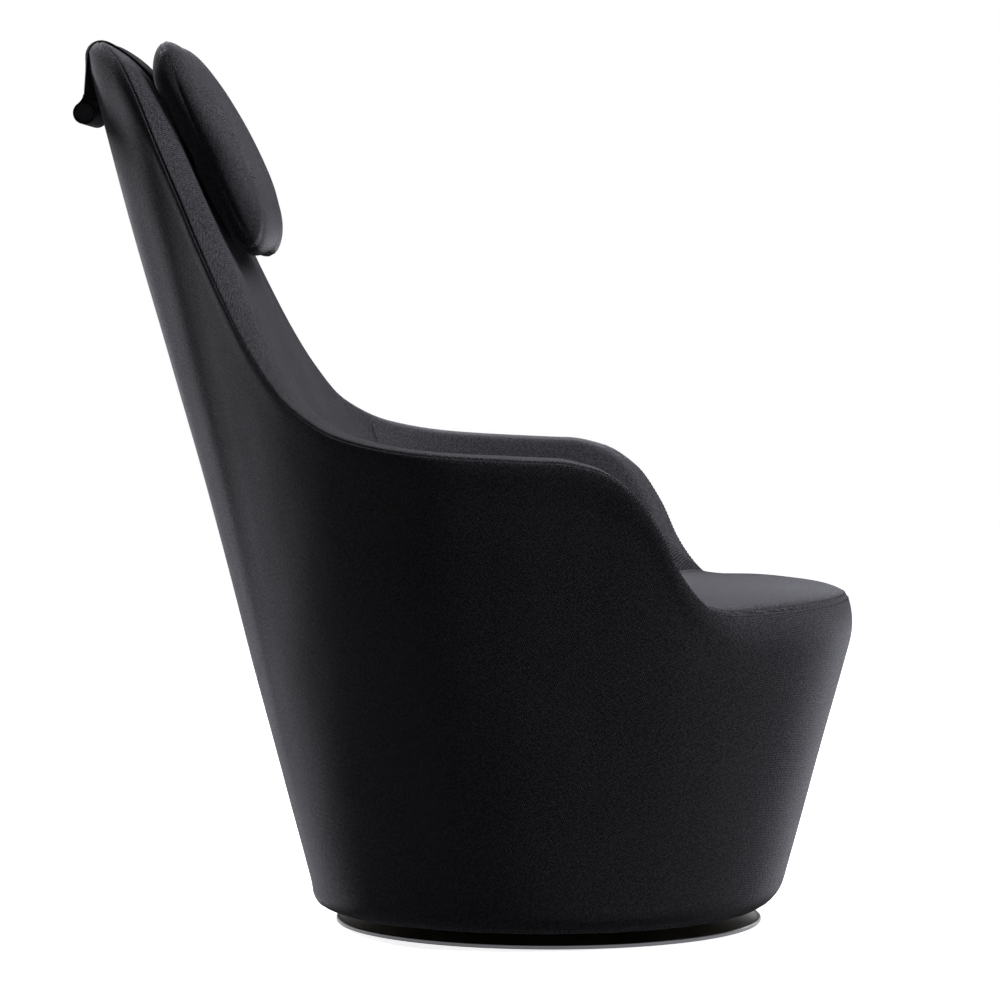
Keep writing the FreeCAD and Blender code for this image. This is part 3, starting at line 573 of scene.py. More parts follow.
def settled(grid, run, normal, angles, waves):
    # Seam groove, stitch dents and slight unevenness pressed into a panel.
    way = reliefWay(normal, run, angles)
    uneven = softWaves(grid, waves) * smoothStep(4, 40, run)
    return grid + way * (uneven - seamDent(run) * seamShallow(angles)[None])[..., None]


def coneUv(heights, angles, inward=0.0, shift=0.0):
    # The woven cover is cut from the cone laid flat, so its threads keep their spacing.
    slope = math.atan(body["flare"])
    apexZ = body["coneFoot"] - body["coneRadius"] / body["flare"]
    reach = ((heights - apexZ) / math.cos(slope) - inward) * mm
    turn = np.radians(angles)[None] * math.sin(slope)
    return np.stack([reach * np.sin(turn), reach * np.cos(turn) + shift], -1)


outerShape = settled(outerGrid, outerRun, outerNormal, outerAngles, body["outerWaves"])
hemDent = body["hemDent"][0] * bell(outerRun[-1:] - outerRun, body["hemSeamAt"], body["hemDent"][1])
outerShape = outerShape - outerNormal * hemDent[..., None]
outerUv = coneUv(outerGrid[..., 2], outerAngles)
outerPanel = shellObject("outerPanel", outerShape, outerUv, fabric, body["wall"], wrap=True,
                         closing=outerUv[:, 0] * np.array([-1, 1]))

innerShape = settled(innerGrid, innerRun, innerNormal, innerAngles, body["innerWaves"])
radius = np.hypot(innerGrid[..., 0], innerGrid[..., 1])
fromJoin = np.radians(np.abs(np.abs(innerAngles)[None] - body["joinAngle"])) * radius
joinDent = body["joinDent"][0] * bell(fromJoin, 0, body["joinDent"][1]) * smoothStep(50, 62, innerRun)
innerShape = innerShape - innerNormal * joinDent[..., None]
innerUv = coneUv(innerGrid[..., 2], innerAngles, coneRadius(innerGrid[..., 2]) - radius, 3.0)
wallTaper = 0.3 + (body["wall"] - 0.3) * (1 - smoothStep(118, tipAngle, np.abs(innerAngles)))
innerPanel = freed(shellObject("innerPanel", innerShape, innerUv, fabric, wallTaper[None], flip=True))
print("stage: outer and inner panels")


seat = {
    "centreY": -80.0, "crown": 414.0, "frontAt": -200.0, "frontLift": 4.2, "liftFrom": (190.0, 300.0),
    "rearDrop": 3.2, "rearReach": 150.0, "waves": 0.9, "wallOverlap": 1.0, "wallGap": 2.0,
    "wallZ": 401.0, "creaseZ": 400.0, "frontRoll": 21.0, "frontPower": 0.85,
    "edgeRoll": 7.0, "edgeShare": 0.35, "sideRoll": 95.0, "sidePower": 1.2, "blendFrom": 114.5, "blendTo": 121.5,
    "sideRows": ((3, -5), (9, -16), (20, -40), (36, -80)), "columns": 360,
    "pressure": 2.0, "cap": 3.5, "pinnedRows": 17,
}


def wallRadius(angle, z):
    # Radius of the inner wall at a height, below the crest.
    k = int(np.clip(np.searchsorted(innerAngles, angle), 1, len(innerAngles) - 1))
    found = []
    for j in (k - 1, k):
        line = innerLines[j]
        top = int(np.argmax(line[:, 1]))
        below = line[top:][::-1]
        found.append(np.interp(z, below[:, 1], below[:, 0]))
    t = np.clip((angle - innerAngles[k - 1]) / (innerAngles[k] - innerAngles[k - 1]), 0, 1)
    return found[0] * (1 - t) + found[1] * t


def seatEdge(angle):
    # Edge point (radius, height) where the seat meets the walls or the front seam.
    a = abs(angle)
    seamPoint = sectionAt(angle)[0][0]
    front = float(smoothStep(seat["blendFrom"], seat["blendTo"], a))
    wall = wallRadius(angle, seat["wallZ"]) + seat["wallOverlap"] if a < tipAngle else seamPoint[0]
    radius, height = (low * (1 - front) + high * front for low, high in zip((wall, seat["creaseZ"]), seamPoint))
    return radius, height, front


seatAngles = np.linspace(-180, 180, seat["columns"], endpoint=False)
seatRowsAt = np.array(fineRows + [25, 32, 40, 50, 62, 76, 92, 110, 130])
inShares = np.linspace(0, 1, 15)[1:]  # on to the middle, as shares of what is left
seatGrid, seatRun = [], []
for angle in seatAngles:
    edgeR, edgeZ, front = seatEdge(angle)
    edge = roundAxis(angle, edgeR, 0.0)
    centre = np.array([0, seat["centreY"], 0])
    span = np.linalg.norm(edge - centre)
    far = min(seatRowsAt[-1], span * 0.6)
    near = seatRowsAt * (far / seatRowsAt[-1]) ** smoothStep(0, 60, seatRowsAt)
    run = np.concatenate([near, near[-1] + inShares * (span - near[-1])])
    plan = edge + (centre - edge) * (run / span)[:, None]
    top = seat["crown"] - seat["rearDrop"] * (np.maximum(plan[:, 1] - seat["frontAt"], 0) / seat["rearReach"]) ** 2
    top = top + seat["frontLift"] * smoothStep(*seat["liftFrom"], -plan[:, 1])
    frontFall = np.exp(-(run / seat["frontRoll"]) ** seat["frontPower"])
    sideFall = (seat["edgeShare"] * np.exp(-run / seat["edgeRoll"])
                + (1 - seat["edgeShare"]) * np.exp(-(run / seat["sideRoll"]) ** seat["sidePower"]))
    fall = frontFall * front + sideFall * (1 - front)
    plan[:, 2] = top - (top - edgeZ) * fall
    seatGrid.append(plan)
    seatRun.append(run)
seatGrid = np.array(seatGrid).transpose(1, 0, 2)
seatRun = np.array(seatRun).T
frontShare = np.array([seatEdge(angle)[2] for angle in seatAngles])
seatNormal = gridNormals(seatGrid, wrap=True, flip=True)
seatDent = seamDent(seatRun) * (frontShare * seamShallow(seatAngles))[None]
seatUneven = softWaves(seatGrid, seat["waves"]) * smoothStep(10, 60, seatRun)
seatTop = seatGrid + reliefWay(seatNormal, seatRun, seatAngles) * (seatUneven - seatDent)[..., None]


def seatPad():
    # Top, side and underside as one closed mesh.
    rows, columns = seatTop.shape[:2]
    sides = []
    for inset, drop in seat["sideRows"]:
        ring = []
        for angle in seatAngles:
            edgeR, edgeZ, front = seatEdge(angle)
            z = edgeZ + drop
            wall = wallRadius(angle, z) - seat["wallGap"] if abs(angle) < tipAngle else edgeR - inset
            ring.append(roundAxis(angle, wall * (1 - front) + (edgeR - inset) * front, z))
        sides.append(ring)
    grid = np.concatenate([seatTop[::-1][1:], np.array(sides)])
    low = sides[-1]
    hub = np.array([[0, seat["centreY"], np.mean([p[2] for p in low])]])
    crownPoint = np.array([seatTop[-1].mean(0)])
    points = np.concatenate([grid.reshape(-1, 3), crownPoint, hub])
    faces = gridFaces(len(grid), columns, 0, True)
    topIndex, lowIndex = len(points) - 2, len(points) - 1
    last = (len(grid) - 1) * columns
    for j in range(columns):
        k = (j + 1) % columns
        faces.append((topIndex, k, j))
        faces.append((lowIndex, last + j, last + k))
    item = meshObject("seatPad", points, faces, fabric, points[:, :2] * mm)
    free = rows - 1 - seat["pinnedRows"]
    held = item.vertex_groups.new(name="held")
    held.add(list(range(free * columns, len(grid) * columns)) + [lowIndex], 1.0, "REPLACE")
    return freed(item)


def neighbourMean(item):
    # Function giving the mean of the neighbours' values for every point.
    ends = np.array([edge.vertices for edge in item.data.edges])
    touching = np.bincount(ends.ravel())[:, None]

    def mean(values):
        total = np.zeros_like(values)
        np.add.at(total, ends[:, 0], values[ends[:, 1]])
        np.add.at(total, ends[:, 1], values[ends[:, 0]])
        return total / touching

    return mean


def inflated(item, pressure, cap, held="", frames=20):
    # Air pressure pushes the cloth out; the shift is evened and never passes the cap.
    start = pointsOf(item)
    cloth = item.modifiers.new("cloth", "CLOTH")
    cloth.settings.use_pressure = True
    cloth.settings.uniform_pressure_force = pressure
    cloth.settings.quality = 6
    cloth.settings.air_damping = 4
    cloth.settings.vertex_group_mass = held
    cloth.settings.effector_weights.gravity = 0
    cloth.point_cache.frame_start = 1
    cloth.point_cache.frame_end = frames
    for step in range(1, frames + 1):
        bpy.context.scene.frame_set(step)
    graph = bpy.context.evaluated_depsgraph_get()
    moved = pointsOf(item.evaluated_get(graph))
    item.modifiers.remove(cloth)
    bpy.context.scene.frame_set(1)
    shift = moved - start
    mean = neighbourMean(item)
    for _ in range(6):
        shift = 0.5 * shift + 0.5 * mean(shift)
    size = np.linalg.norm(shift, axis=1, keepdims=True)
    shift *= cap * mm * np.tanh(size / (cap * mm)) / np.maximum(size, 1e-9)
    print("cloth", item.name, "largest shift", round(float(size.max()) / mm, 1), "mm")
    movePoints(item, start + shift)


seatObject = seatPad()
inflated(seatObject, seat["pressure"], seat["cap"], "held")
print("stage: seat")


rest = {
    "tilt": math.radians(26), "centre": (0.0, 397.5, 941.5), "size": (304.0, 76.0, 282.0),
    "startShare": 0.97, "cells": (60, 56, 14), "seamRow": 5, "cap": 7.0, "pressure": 3.0, "soften": 6,
    "seamDepth": 3.8, "seamReach": 2.8, "stitchOut": 3.4, "seamLean": (0.15, 0.11), "endBulge": 0.18,
    "hollow": 9.5, "hollowHalf": 100.0, "hollowTaper": 34.0, "hollowFrom": (-114, -66),
    "sideSpread": 3.4, "frontFall": 24.0, "backFall": 34.0, "backShift": 0.4, "sewnPitch": 1.2,
}
# Side view of the cushion in millimetres: up its length, out from its middle.
restSide = np.array([(144, -1), (138, 9.5), (122, 18.2), (92, 24), (63, 28.8), (24, 32.4), (-8, 33.5), (-51, 32),
                     (-78, 26.8), (-102, 19), (-121, 6), (-132, -9), (-130, -22), (-118, -30), (-85, -37),
                     (-40, -40), (20, -40), (70, -38.5), (100, -36), (120, -30), (134, -19)], float)
# Height and thickness as shares, from the middle out to each end.
restAcross = np.array([(0, 1, 1), (0.5, 0.998, 1), (0.8, 0.98, 0.985), (0.93, 0.945, 0.96), (1, 0.90, 0.91)])
nx, nz, ny = rest["cells"]
seamRow = rest["seamRow"]


def closedSmooth(points, count):
    # Closed Catmull-Rom curve through the points.
    total = len(points)
    out = []
    for s in np.linspace(0, total, count, endpoint=False):
        i, t = int(s) % total, s - int(s)
        out.append(cubicBetween(*(points[(i + k) % total] for k in (-1, 0, 1, 2)), t))
    return np.array(out)


def restFrame(across, up, out):
    tilt = rest["tilt"]
    place = rest["centre"]
    return np.stack([place[0] + across, place[1] + up * np.sin(tilt) - out * np.cos(tilt),
                     place[2] + up * np.cos(tilt) + out * np.sin(tilt)], -1)


def restLocal(points):
    # Back to (across, out, up) about the cushion's middle.
    tilt = rest["tilt"]
    x, y, z = (points[:, k] - rest["centre"][k] for k in range(3))
    return np.stack([x, z * np.sin(tilt) - y * np.cos(tilt), y * np.sin(tilt) + z * np.cos(tilt)], 1)


def restCushion():
    # A cube's faces drawn out to the cushion's sides, with its uv cut at the seam.
    outline = closedSmooth(restSide, 720)
    angleOf = np.arctan2(outline[:, 1] * rest["sideSpread"], outline[:, 0])
    order = np.argsort(angleOf)
    angleSorted, outlineSorted = angleOf[order], outline[order]

    def place(a, b, c):
        # a across, b up, c out, each from -1 to 1 on a cube's faces
        c += (1 - c * c) * b * (rest["seamLean"][0] + rest["seamLean"][1] * b)
        ring = max(abs(b), abs(c))
        angle = math.atan2(c, b) if ring else 0.0
        edge = placesAt(angle, angleSorted, outlineSorted, period=2 * math.pi)
        high, thick = (tableValue(restAcross, k, abs(a)) for k in (1, 2))
        across = a * rest["size"][0] / 2 * (1 - rest["endBulge"] * ring**3)
        return across, edge[0] * ring * high, edge[1] * ring * thick

    points, index, faces, cornerUv = [], {}, [], []

    def corner(i, k, j):
        key = (i, k, j)
        if key not in index:
            index[key] = len(points)
            points.append(place(2 * i / nx - 1, 2 * k / nz - 1, 2 * j / ny - 1))
        return index[key]

    def quad(*keys):
        # Front and back panels are cut apart at the seam, each wrapping over the ends.
        face = [corner(*key) for key in keys]
        front = min(key[2] for key in keys) >= seamRow
        for key, at in zip(keys, face):
            across, up, out = points[at]
            fall = rest["frontFall"] - out if front else out + rest["backFall"]
            u = across + (1 if key[0] > nx / 2 else -1) * fall * (key[0] in (0, nx))
            v = up + (1 if key[1] > nz / 2 else -1) * fall * (key[1] in (0, nz) and 0 < key[0] < nx)
            cornerUv.append((u * mm, v * mm + (0 if front else rest["backShift"])))
        faces.append(face)

    for i in range(nx):
        for k in range(nz):
            quad((i, k, ny), (i + 1, k, ny), (i + 1, k + 1, ny), (i, k + 1, ny))
            quad((i, k, 0), (i, k + 1, 0), (i + 1, k + 1, 0), (i + 1, k, 0))
        for j in range(ny):
            quad((i, 0, j), (i + 1, 0, j), (i + 1, 0, j + 1), (i, 0, j + 1))
            quad((i, nz, j), (i, nz, j + 1), (i + 1, nz, j + 1), (i + 1, nz, j))
    for k in range(nz):
        for j in range(ny):
            quad((0, k, j), (0, k, j + 1), (0, k + 1, j + 1), (0, k + 1, j))
            quad((nx, k, j), (nx, k + 1, j), (nx, k + 1, j + 1), (nx, k, j + 1))
    across, up, out = np.array(points).T
    return restFrame(across, up, out), faces, index, cornerUv


restPoints, restFaces, restIndex, restUv = restCushion()
middle = restPoints.mean(0)
started = middle + (restPoints - middle) * rest["startShare"]
restObject = meshObject("headrestCushion", started, restFaces, fabric, restUv)
inflated(restObject, rest["pressure"], rest["cap"])


def restFitted():
    # The filled cushion's corners are softened, and it is brought to its measured size and place.
    points = restLocal(pointsOf(restObject) / mm)
    mean = neighbourMean(restObject)
    for _ in range(rest["soften"]):
        points = 0.5 * points + 0.5 * mean(points)
    low, high = points.min(0), points.max(0)
    size = np.array(rest["size"])
    upMiddle, outMiddle = (restSide.max(0) + restSide.min(0)) / 2
    points = (points - (low + high) / 2) * size / (high - low) + np.array([0, outMiddle, upMiddle])
    # Its back is hollowed to lie in the curve of the seat's back, with room for the strap as it slides.
    half = rest["hollowHalf"] - rest["hollowTaper"] * smoothStep(70, 110, points[:, 2])
    rear = smoothStep(-4, 18, -points[:, 1]) * (1 - smoothStep(0, 28, np.abs(points[:, 0]) - half))
    points[:, 1] += rest["hollow"] * rear * smoothStep(*rest["hollowFrom"], points[:, 2])
    movePoints(restObject, restFrame(points[:, 0], points[:, 2], points[:, 1]) * mm)


restFitted()


def ringKeys(j):
    # Once round the cushion's edge at one row between its back and its front.
    keys = [(i, nz, j) for i in range(nx)] + [(nx, k, j) for k in range(nz, 0, -1)]
    return keys + [(i, 0, j) for i in range(nx, 0, -1)] + [(0, k, j) for k in range(nz)]


def restSeam():
    # The rows beside the seam close up to it and its ring is drawn in; one subdivision softens the groove.
    points = pointsOf(restObject) / mm
    normals = np.array([v.normal for v in restObject.data.vertices])
    rings = [[restIndex[key] for key in ringKeys(seamRow + k)] for k in (-1, 0, 1)]
    mid, lift = points[rings[1]], normals[rings[1]]
    lines = []
    side = 1 - smoothStep(70, 112, np.abs(restLocal(mid)[:, 2:]))
    for ring in (rings[0], rings[2]):
        reach = np.linalg.norm(points[ring] - mid, axis=1, keepdims=True)
        away = (points[ring] - mid) / reach
        points[ring] = mid + away * (rest["seamReach"] + (1 - side) * (reach - rest["seamReach"]))
        lines.append(mid + away * rest["stitchOut"])
    deep = smoothStep(85, 125, np.abs(mid[:, :1])) * side
    points[rings[1]] = mid - lift * (rest["seamDepth"] * (0.18 + 0.82 * deep))
    movePoints(restObject, points * mm)
    smooth = restObject.modifiers.new("smooth", "SUBSURF")
    smooth.levels = smooth.render_levels = 1
    bpy.context.view_layer.update()
    surface = BVHTree.FromObject(restObject, bpy.context.evaluated_depsgraph_get())
    laid = []
    for line in lines:
        line = closedEven(line, rest["sewnPitch"])
        found = [surface.find_nearest(Vector(p * mm)) for p in line]
        laid.append(np.array([(place - normal * 0.00005) for place, normal, _, _ in found]) / mm)
    return laid


restStitchLines = restSeam()
print("stage: headrest")


strap = {
    "thick": 2.4, "gap": 1.3, "columns": 29, "edgeRound": 1.1, "stitchIn": 5.0, "stitchDent": 0.35, "pitch": 2.2,
    "reach": 548.0, "rollIn": 2.0, "rearEnd": 1054.5, "drape": 34.0, "lift": 2.5, "rearRows": 62.0,
    "frontRows": 84.0, "evening": 10, "crowding": 1.35, "hangIn": 0.6, "hangUp": 7.0, "sewnAt": (1.5, 1.0),
    "crestSteps": 12, "hangSteps": 9, "sharpAngle": 50, "stitchSink": 0.25,
}


def inMm(box):
    return [np.array(corner) / mm for corner in box]


topLow, topHigh = inMm(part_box("strap_top"))
rollLow, rollHigh = inMm(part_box("roll_sleeve"))
frontLow, frontHigh = inMm(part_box("strap_front"))
strapHalf = (topHigh[0] - topLow[0]) / 2
rollMiddle = (rollLow + rollHigh) / 2 - np.array([0, strap["rollIn"], 0])
rollRadius = (rollHigh[2] - rollLow[2]) / 2
across = np.linspace(-1, 1, strap["columns"])
strapX = np.sign(across) * (1 - (1 - np.abs(across)) ** strap["crowding"]) * strapHalf  # closer at the edges


def bandMesh(name, sheet):
    # Flat band about a sheet of middle points, with rounded edges and a row of dents for the stitches.
    rows, columns = sheet.shape[:2]
    normal = gridNormals(sheet)
    fromEdge = strapHalf - np.abs(strapX)
    inward = 1 - np.minimum(fromEdge / strap["edgeRound"], 1)
    half = strap["thick"] / 2 * np.sqrt(np.clip(1 - inward ** 2, 0.02, 1))
    half = (half - strap["stitchDent"] * bell(fromEdge, strap["stitchIn"], stitchWidth))[None, :, None]
    layers = [sheet + normal * half, sheet - normal * half]
    faces = gridFaces(rows, columns) + gridFaces(rows, columns, rows * columns, False, True)
    faces += rimFaces(rows, columns)
    points = np.concatenate([layer.reshape(-1, 3) for layer in layers])
    run = lengthsAlong(sheet[:, columns // 2])
    uv = np.stack(np.broadcast_arrays(strapX, run[:, None]), -1) * mm
    item = freed(meshObject(name, points, faces, strapFabric, np.tile(uv.reshape(-1, 2), (2, 1))))
    item.data.set_sharp_from_angle(angle=math.radians(strap["sharpAngle"]))
    return item


def bandStitches(sheet):
    # Rows along both edges of a band, on both of its faces.
    raised = gridNormals(sheet) * (strap["thick"] / 2 - strap["stitchSink"])
    at = strapHalf - strap["stitchIn"]
    return [np.array([placesAt(sign * at, strapX, row) for row in sheet + raised * face])
            for sign in (1, -1) for face in (1, -1)]


def flatSheet(path):
    line = evened(np.array(path, float), strap["pitch"])
    depth, height = (np.broadcast_to(line[:, k, None], (len(line), len(strapX))) for k in (0, 1))
    return np.stack([np.broadcast_to(strapX, depth.shape), depth, height], -1)


def crossLine(x):
    # The body's rear, crest and front in the plane at x, just above the fabric.
    angle = math.degrees(math.asin(x / strap["reach"]))
    parts = []
    for shape, run, angles, rows in ((outerShape, outerRun, outerAngles, strap["rearRows"]),
                                     (innerShape, innerRun, innerAngles, strap["frontRows"])):
        radii = np.hypot(shape[..., 0], shape[..., 1])
        keep = run[:, len(angles) // 2] < rows
        r = np.array([np.interp(angle, angles, row) for row in radii[keep]])
        z = np.array([np.interp(angle, angles, row) for row in shape[keep][..., 2]])
        parts.append(np.column_stack([np.sqrt(np.maximum(r * r - x * x, 0)), z]))
    line = rounded(np.concatenate([parts[0][::-1], parts[1][1:]]), 4.0, 1.0)
    way = np.gradient(line, axis=0)
    way /= np.linalg.norm(way, axis=1, keepdims=True)
    side = np.stack([way[:, 1], -way[:, 0]], 1)
    if side[len(side) // 2, 1] < 0:
        side = -side
    line = line + side * (strap["gap"] + strap["thick"] / 2)
    return line, lengthsAlong(line) - lengthsAlong(line)[int(np.argmax(line[:, 1]))]


def leaving(line, run):
    # Row where a straight line down to the roll leaves the crest.
    steep = np.arctan2(line[:, 0] - hang[0], line[:, 1] - hang[1])
    return int(np.argmax(np.where(run < 0, steep, -9)))


middleLine, middleRun = crossLine(0.0)
hang = np.array([rollMiddle[1] - strap["hangIn"], rollMiddle[2] + rollRadius + strap["hangUp"]])
leaves = leaving(middleLine, middleRun)
frontEnd = int(np.argmin(np.hypot(middleLine[:, 0] - frontHigh[1], middleLine[:, 1] - frontHigh[2])))
count = int((middleRun[frontEnd] - middleRun[leaves]) / strap["pitch"])
columns, rearColumns = [], []
for x in strapX:
    line, run = crossLine(x)
    start = leaving(line, run)
    along = np.linspace(run[start], middleRun[frontEnd], count)
    shaped = placesAt(along, run, line)
    flat = placesAt(np.linspace(middleRun[leaves], middleRun[frontEnd], count), middleRun, middleLine)
    nearFront = 1 - smoothStep(0, strap["drape"] * 1.5, along[-1] - along)
    flat[:, 0] -= strap["lift"] * nearFront
    weight = smoothStep(0, strap["drape"], along[-1] - along)[:, None]
    draped = flat * (1 - weight) + shaped * weight
    atEnd = (strap["rearEnd"] - hang[1]) / (draped[0, 1] - hang[1])
    rows = hang + (draped[0] - hang) * np.linspace(atEnd, 1, strap["crestSteps"])[:, None]
    columns.append(np.column_stack([np.full(len(rows) - 1 + len(draped), x), np.concatenate([rows[:-1], draped])]))
    rows = hang + (draped[0] - hang) * np.linspace(atEnd, 0, strap["hangSteps"])[:, None]
    rearColumns.append(np.column_stack([np.full(len(rows), x), rows]))
topSheet = np.array(columns).transpose(1, 0, 2)
rearSheet = np.array(rearColumns).transpose(1, 0, 2)
for _ in range(strap["evening"]):
    topSheet[1:-1] = 0.25 * topSheet[:-2] + 0.5 * topSheet[1:-1] + 0.25 * topSheet[2:]
strapTop = bandMesh("strapTop", topSheet)
sewnPoint = frontLow[1:] + np.array(strap["sewnAt"])
topEnd = topSheet[-1, 0, 1:]
strapFront = bandMesh("strapFront", flatSheet([topEnd, sewnPoint]))
strapRear = bandMesh("strapRear", rearSheet)


roll = {"wall": 1.8, "cusp": 8.5, "cuspHalf": 1.3, "wrap": 38.0, "points": 60, "disc": 2.4, "dome": 0.4,
        "barEdge": 0.8, "edgeClose": 0.035}


def rollSleeve():
    # The strap's end wrapped round the bar and sewn to itself above it.
    turn = np.radians(np.linspace(roll["wrap"], 360 - roll["wrap"], roll["points"]))
    outside = np.stack([np.sin(turn), np.cos(turn)], 1) * rollRadius
    cusp, bend = np.array([roll["cuspHalf"], rollRadius + roll["cusp"]]), math.radians(roll["wrap"])
    control = np.array([roll["cuspHalf"], outside[0, 1] + (outside[0, 0] - roll["cuspHalf"]) * math.tan(bend)])
    lead = bent(cusp, control, outside[0], 14)
    tail = lead[::-1] * np.array([-1, 1])
    loop = np.concatenate([lead[:-1], outside, tail[1:]])
    hole = loop / np.linalg.norm(loop, axis=1, keepdims=True) * (rollRadius - roll["wall"])
    ends = [-strapHalf, -strapHalf + 0.6, -strapHalf + 3] + list(np.linspace(-strapHalf + 8, strapHalf - 8, 12))
    ends += [strapHalf - 3, strapHalf - 0.6, strapHalf]
    rings = [(x, loop * (1 - roll["edgeClose"] * (abs(x) > strapHalf - 0.3))) for x in ends]
    rings += [(x, hole) for x in ends[::-1]]
    grid = np.array([[(x, p[0] + rollMiddle[1], p[1] + rollMiddle[2]) for p in ring] for x, ring in rings])
    rows, columns = grid.shape[:2]
    faces = gridFaces(rows, columns, 0, True)
    for j in range(columns):
        k = (j + 1) % columns
        faces.append(((rows - 1) * columns + j, (rows - 1) * columns + k, k, j))
    uv = np.stack([grid[..., 0], np.broadcast_to(lengthsAlong(loop), (rows, columns))], -1).reshape(-1, 2) * mm
    return freed(meshObject("rollSleeve", grid.reshape(-1, 3), faces, strapFabric, uv))


sleeve = rollSleeve()


def turnedPoints(rows, step):
    # Rings about the roll's middle, one for each (x, radius).
    turns = np.radians(np.arange(0, 360, step))
    return [(x, rollMiddle[1] + r * np.sin(t), rollMiddle[2] + r * np.cos(t)) for x, r in rows for t in turns]


def rollBar():
    # Steel bar with turned edges that fills the sleeve between its discs.
    low, high = inMm(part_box("roll_weight"))
    radius, half, edge = (high[2] - low[2]) / 2, (high[0] - low[0]) / 2, roll["barEdge"]
    rows = [(-half, 0.0), (-half, radius - edge), (-half + edge, radius)]
    rows += [(-x, r) for x, r in rows[::-1]]
    item = freed(meshObject("rollBar", turnedPoints(rows, 6.0), gridFaces(len(rows), 60, 0, True), endCloth))
    item.data.set_sharp_from_angle(angle=math.radians(30))
    return item


def rollEnds():
    # Two stiff discs covered in fabric, slightly domed, set just inside the sleeve.
    radius = rollRadius - roll["wall"] - 0.15
    shares = [(0, 1), (0.3, 0.97), (0.6, 0.86), (0.8, 0.68), (0.92, 0.42), (0.98, 0.1), (1, -0.6), (1, -4.5),
              (0, -4.5)]
    points, faces = [], []
    for sign in (1, -1):
        faces += gridFaces(len(shares), 48, len(points), True)
        points += turnedPoints([(sign * (strapHalf - roll["disc"] + roll["dome"] * out), radius * share)
                                for share, out in shares], 7.5)
    return freed(meshObject("rollEnds", points, faces, endCloth))


endCloth = wovenFabric("endCloth", dict(fabricLook, dark=(0.04, 0.04, 0.047), light=(0.075, 0.075, 0.086),
                                        sheen=0.2))
rollCaps = rollEnds()
rollCore = rollBar()
print("stage: strap and roll")


stitchSizes = {"Pitch": 0.005, "Length": 0.0038, "Thickness": 0.0009}


def stitchTree():
    # Node tree that sews beads of thread along a line of edges.
    tree = bpy.data.node_groups.new("sewnLine", "GeometryNodeTree")
    face = tree.interface
    face.new_socket("Geometry", in_out="INPUT", socket_type="NodeSocketGeometry")
    for name, value in stitchSizes.items():
        face.new_socket(name, in_out="INPUT", socket_type="NodeSocketFloat").default_value = value
    face.new_socket("Geometry", in_out="OUTPUT", socket_type="NodeSocketGeometry")
    given = tree.nodes.new("NodeGroupInput")
    result = tree.nodes.new("NodeGroupOutput")
    curve = addNode(tree, "GeometryNodeMeshToCurve", {"Mesh": given.outputs["Geometry"]})
    spaced = addNode(tree, "GeometryNodeResampleCurve",
                     {"Curve": curve.outputs[0], "Length": given.outputs["Pitch"]}, mode="LENGTH")
    bead = addNode(tree, "GeometryNodeMeshUVSphere", {"Segments": 6, "Rings": 5, "Radius": 0.5})
    size = addNode(tree, "ShaderNodeCombineXYZ", {"X": given.outputs["Length"], "Y": given.outputs["Thickness"],
                                                  "Z": given.outputs["Thickness"]})
    stitch = addNode(tree, "GeometryNodeTransform", {"Geometry": bead.outputs["Mesh"], "Scale": size.outputs[0]})
    rounder = addNode(tree, "GeometryNodeSetShadeSmooth", {"Geometry": stitch.outputs[0]})
    tangent = tree.nodes.new("GeometryNodeInputTangent")
    turn = addNode(tree, "FunctionNodeAlignRotationToVector", {"Vector": tangent.outputs[0]}, axis="X")
    vary = addNode(tree, "FunctionNodeRandomValue", {2: 0.9, 3: 1.08, "Seed": 4}, data_type="FLOAT")
    sewn = addNode(tree, "GeometryNodeInstanceOnPoints",
                   {"Points": spaced.outputs[0], "Instance": rounder.outputs[0],
                    "Rotation": turn.outputs[0], "Scale": vary.outputs[1]})
    real = addNode(tree, "GeometryNodeRealizeInstances", {"Geometry": sewn.outputs[0]})
    done = addNode(tree, "GeometryNodeSetMaterial", {"Geometry": real.outputs[0], "Material": thread})
    tree.links.new(done.outputs[0], result.inputs["Geometry"])
    return tree


sewing = stitchTree()


def sewn(name, lines, **sizes):
    points, edges = [], []
    for line in lines:
        start = len(points)
        points += [tuple(p) for p in line * mm]
        edges += [(start + i, start + i + 1) for i in range(len(line) - 1)]
    path = bpy.data.meshes.new(name + "Path")
    path.from_pydata(points, edges, [])
    guide = linked(name + "Path", path)
    tool = guide.modifiers.new("sewing", "NODES")
    tool.node_group = sewing
    for socket in sewing.interface.items_tree:
        if socket.item_type == "SOCKET" and socket.in_out == "INPUT" and socket.name != "Geometry":
            tool[socket.identifier] = dict(stitchSizes, **sizes)[socket.name]
    graph = bpy.context.evaluated_depsgraph_get()
    mesh = bpy.data.meshes.new_from_object(guide.evaluated_get(graph))
    bpy.data.objects.remove(guide)
    mesh.name = name
    return linked(name, mesh)


def rowAt(grid, run, normals, distance, lift):
    # Line round a panel at a distance from its seam.
    return np.array([placesAt(distance, run[:, j], grid[:, j]) + placesAt(distance, run[:, j], normals[:, j]) * lift
                     for j in range(grid.shape[1])])


stitchAt, stitchLift = body["stitchAt"], 0.15
outerLineRow = rowAt(outerShape, outerRun, outerNormal, stitchAt, stitchLift)
innerLineRow = rowAt(innerShape, innerRun, innerNormal, stitchAt, stitchLift)
innerLineRow = innerLineRow[np.abs(innerAngles) < tipAngle - 4]
frontRow = rowAt(seatTop, seatRun, seatNormal, stitchAt, stitchLift)
frontRow = np.roll(frontRow, seat["columns"] // 2, axis=0)
turned = np.roll(seatAngles, seat["columns"] // 2) % 360
frontRow = frontRow[np.abs(turned - 180) < 180 - tipAngle + 4]
bodyStitches = sewn("bodyTopStitch", [closedEven(outerLineRow, 2.0), innerLineRow, frontRow])


